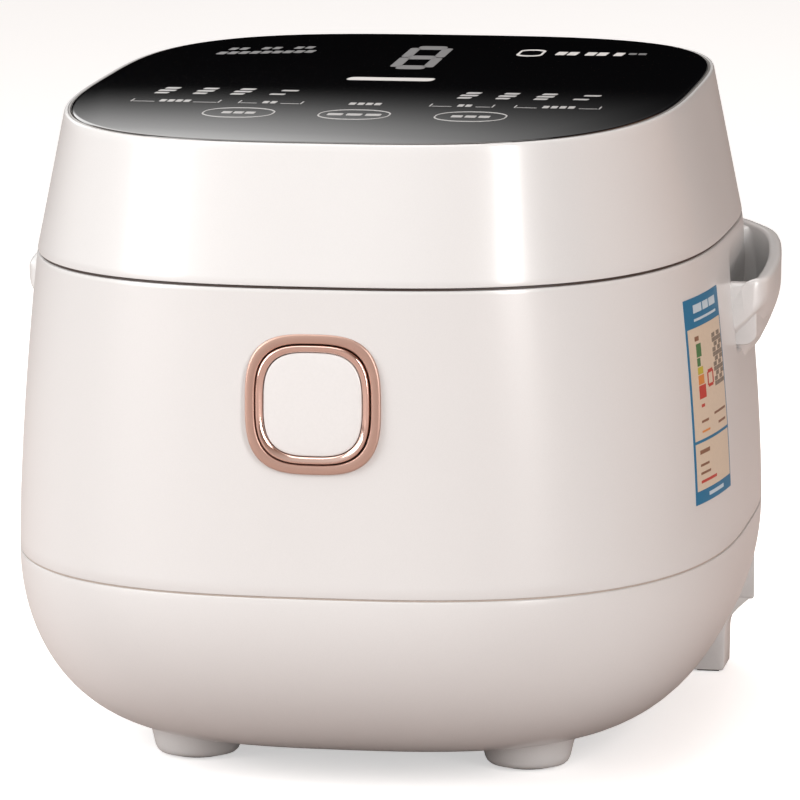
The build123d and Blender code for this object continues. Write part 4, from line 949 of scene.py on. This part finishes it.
# a warm darker floor just under it, which alone sends light back up onto the object
floor.visible_diffuse = False
floor.visible_glossy = False
floor.visible_shadow = False
bounce_data = bpy.data.meshes.new("bounce")
bounce_corners = [(-30, -30, -0.002), (30, -30, -0.002), (30, 30, -0.002), (-30, 30, -0.002)]
bounce_data.from_pydata(bounce_corners, [], [(0, 1, 2, 3)])
bounce = bpy.data.objects.new("bounce", bounce_data)
bounce_data.materials.append(surface("bounce_brown", (0.50, 0.425, 0.40), rough=0.9, grain=0.03))
bpy.context.scene.collection.objects.link(bounce)
bounce.visible_camera = False


def softbox(name, at, size, power, colour):
    """A square soft light aimed at the middle of the object."""
    light = bpy.data.lights.new(name, "AREA")
    light.shape = "RECTANGLE"
    light.size, light.size_y = size
    light.energy = power
    light.color = colour
    lamp = bpy.data.objects.new(name, light)
    lamp.location = at
    lamp.visible_camera = False
    lamp.rotation_euler = (Vector((0, 0, 0.14)) - Vector(at)).to_track_quat("-Z", "Y").to_euler()
    bpy.context.scene.collection.objects.link(lamp)


softbox("key", (-1.6, -1.2, 0.9), (1.1, 1.5), 30, (1.0, 0.99, 0.98))
softbox("corner", (1.55, -1.45, 0.75), (0.5, 1.5), 32, (1.0, 0.985, 0.97))
softbox("top", (-0.2, 0.1, 1.9), (2.2, 1.6), 25, (1.0, 0.985, 0.97))

# a dark warm board to the right, which shades that side
board_corners = [(0.5, -0.12, 0.0), (0.5, 0.8, 0.0), (0.5, 0.8, 0.7), (0.5, -0.12, 0.7)]
board_data = bpy.data.meshes.new("board")
board_data.from_pydata(board_corners, [], [(0, 1, 2, 3)])
board = bpy.data.objects.new("board", board_data)
board_data.materials.append(surface("board_brown", (0.30, 0.16, 0.10), rough=0.9, grain=0.05))
bpy.context.scene.collection.objects.link(board)
board.visible_camera = False


# a card behind the object, which the glass mirrors: bright towards the top left
card_corners = [(-1.4, 1.0, 0.34), (0.4, 1.0, 0.34), (0.4, 1.0, 0.9), (-1.4, 1.0, 0.9)]
card_data = bpy.data.meshes.new("card")
card_data.from_pydata(card_corners, [], [(0, 1, 2, 3)])
card = bpy.data.objects.new("card", card_data)
bpy.context.scene.collection.objects.link(card)
card_finish = bpy.data.materials.new("card_glow")
card_finish.use_nodes = True
nodes = card_finish.node_tree.nodes
links = card_finish.node_tree.links
card_place = nodes.new("ShaderNodeTexCoord")
split = nodes.new("ShaderNodeSeparateXYZ")
links.new(card_place.outputs["Object"], split.inputs["Vector"])
fades = []
for axis, start, end in (("Z", 0.415, 0.49), ("X", 0.08, -0.6)):
    fade = nodes.new("ShaderNodeMapRange")
    fade.interpolation_type = "SMOOTHSTEP"
    fade.inputs["From Min"].default_value = start
    fade.inputs["From Max"].default_value = end
    links.new(split.outputs[axis], fade.inputs["Value"])
    fades.append(fade)
glow = nodes.new("ShaderNodeMath")
glow.operation = "MULTIPLY"
links.new(fades[0].outputs["Result"], glow.inputs[0])
links.new(fades[1].outputs["Result"], glow.inputs[1])
shader = nodes["Principled BSDF"]
shader.inputs["Base Color"].default_value = (0.0, 0.0, 0.0, 1)
shader.inputs["Specular IOR Level"].default_value = 0.0
shader.inputs["Emission Color"].default_value = (1.0, 0.99, 0.98, 1)
glow_boost = nodes.new("ShaderNodeMath")
glow_boost.operation = "MULTIPLY"
glow_boost.inputs[1].default_value = 1.6
links.new(glow.outputs["Value"], glow_boost.inputs[0])
links.new(glow_boost.outputs["Value"], shader.inputs["Emission Strength"])
card_data.materials.append(card_finish)
card.visible_camera = False

# the room: bright to the front left and above, dim and warm to the right and behind
world = bpy.data.worlds.new("studio")
bpy.context.scene.world = world
world.use_nodes = True
nodes = world.node_tree.nodes
links = world.node_tree.links
place_node = nodes.new("ShaderNodeTexCoord")
facing = nodes.new("ShaderNodeVectorMath")
facing.operation = "DOT_PRODUCT"
facing.inputs[1].default_value = (-0.80, -0.46, 0.38)
ramp = nodes.new("ShaderNodeValToRGB")
ramp.color_ramp.elements[0].position = 0.41
ramp.color_ramp.elements[0].color = (0.006, 0.005, 0.005, 1)
ramp.color_ramp.elements[1].position = 1.0
ramp.color_ramp.elements[1].color = (1.0, 0.985, 0.965, 1)
middle = ramp.color_ramp.elements.new(0.55)
middle.color = (0.30, 0.20, 0.15, 1)
scale = nodes.new("ShaderNodeMapRange")
scale.inputs["From Min"].default_value = -0.9
scale.inputs["From Max"].default_value = 0.9
links.new(place_node.outputs["Generated"], facing.inputs[0])
links.new(facing.outputs["Value"], scale.inputs["Value"])
links.new(scale.outputs["Result"], ramp.inputs["Fac"])
links.new(ramp.outputs["Color"], nodes["Background"].inputs["Color"])
nodes["Background"].inputs["Strength"].default_value = 0.95

LENS = 264.82
CAMERA_PLACE = (380.47, PLAN_Y - 2257.65, 482.63)
CAMERA_AIM = (0, PLAN_Y, 125.25)
camera_data = bpy.data.cameras.new("camera")
camera_data.sensor_width = 36
camera_data.lens = LENS
camera_data.clip_end = 200
camera = bpy.data.objects.new("camera", camera_data)
camera.location = Vector(CAMERA_PLACE) * MM
target = Vector(CAMERA_AIM) * MM
camera.rotation_euler = (target - camera.location).to_track_quat("-Z", "Y").to_euler()
bpy.context.scene.collection.objects.link(camera)
bpy.context.scene.camera = camera
bpy.context.scene.view_settings.view_transform = "Standard"
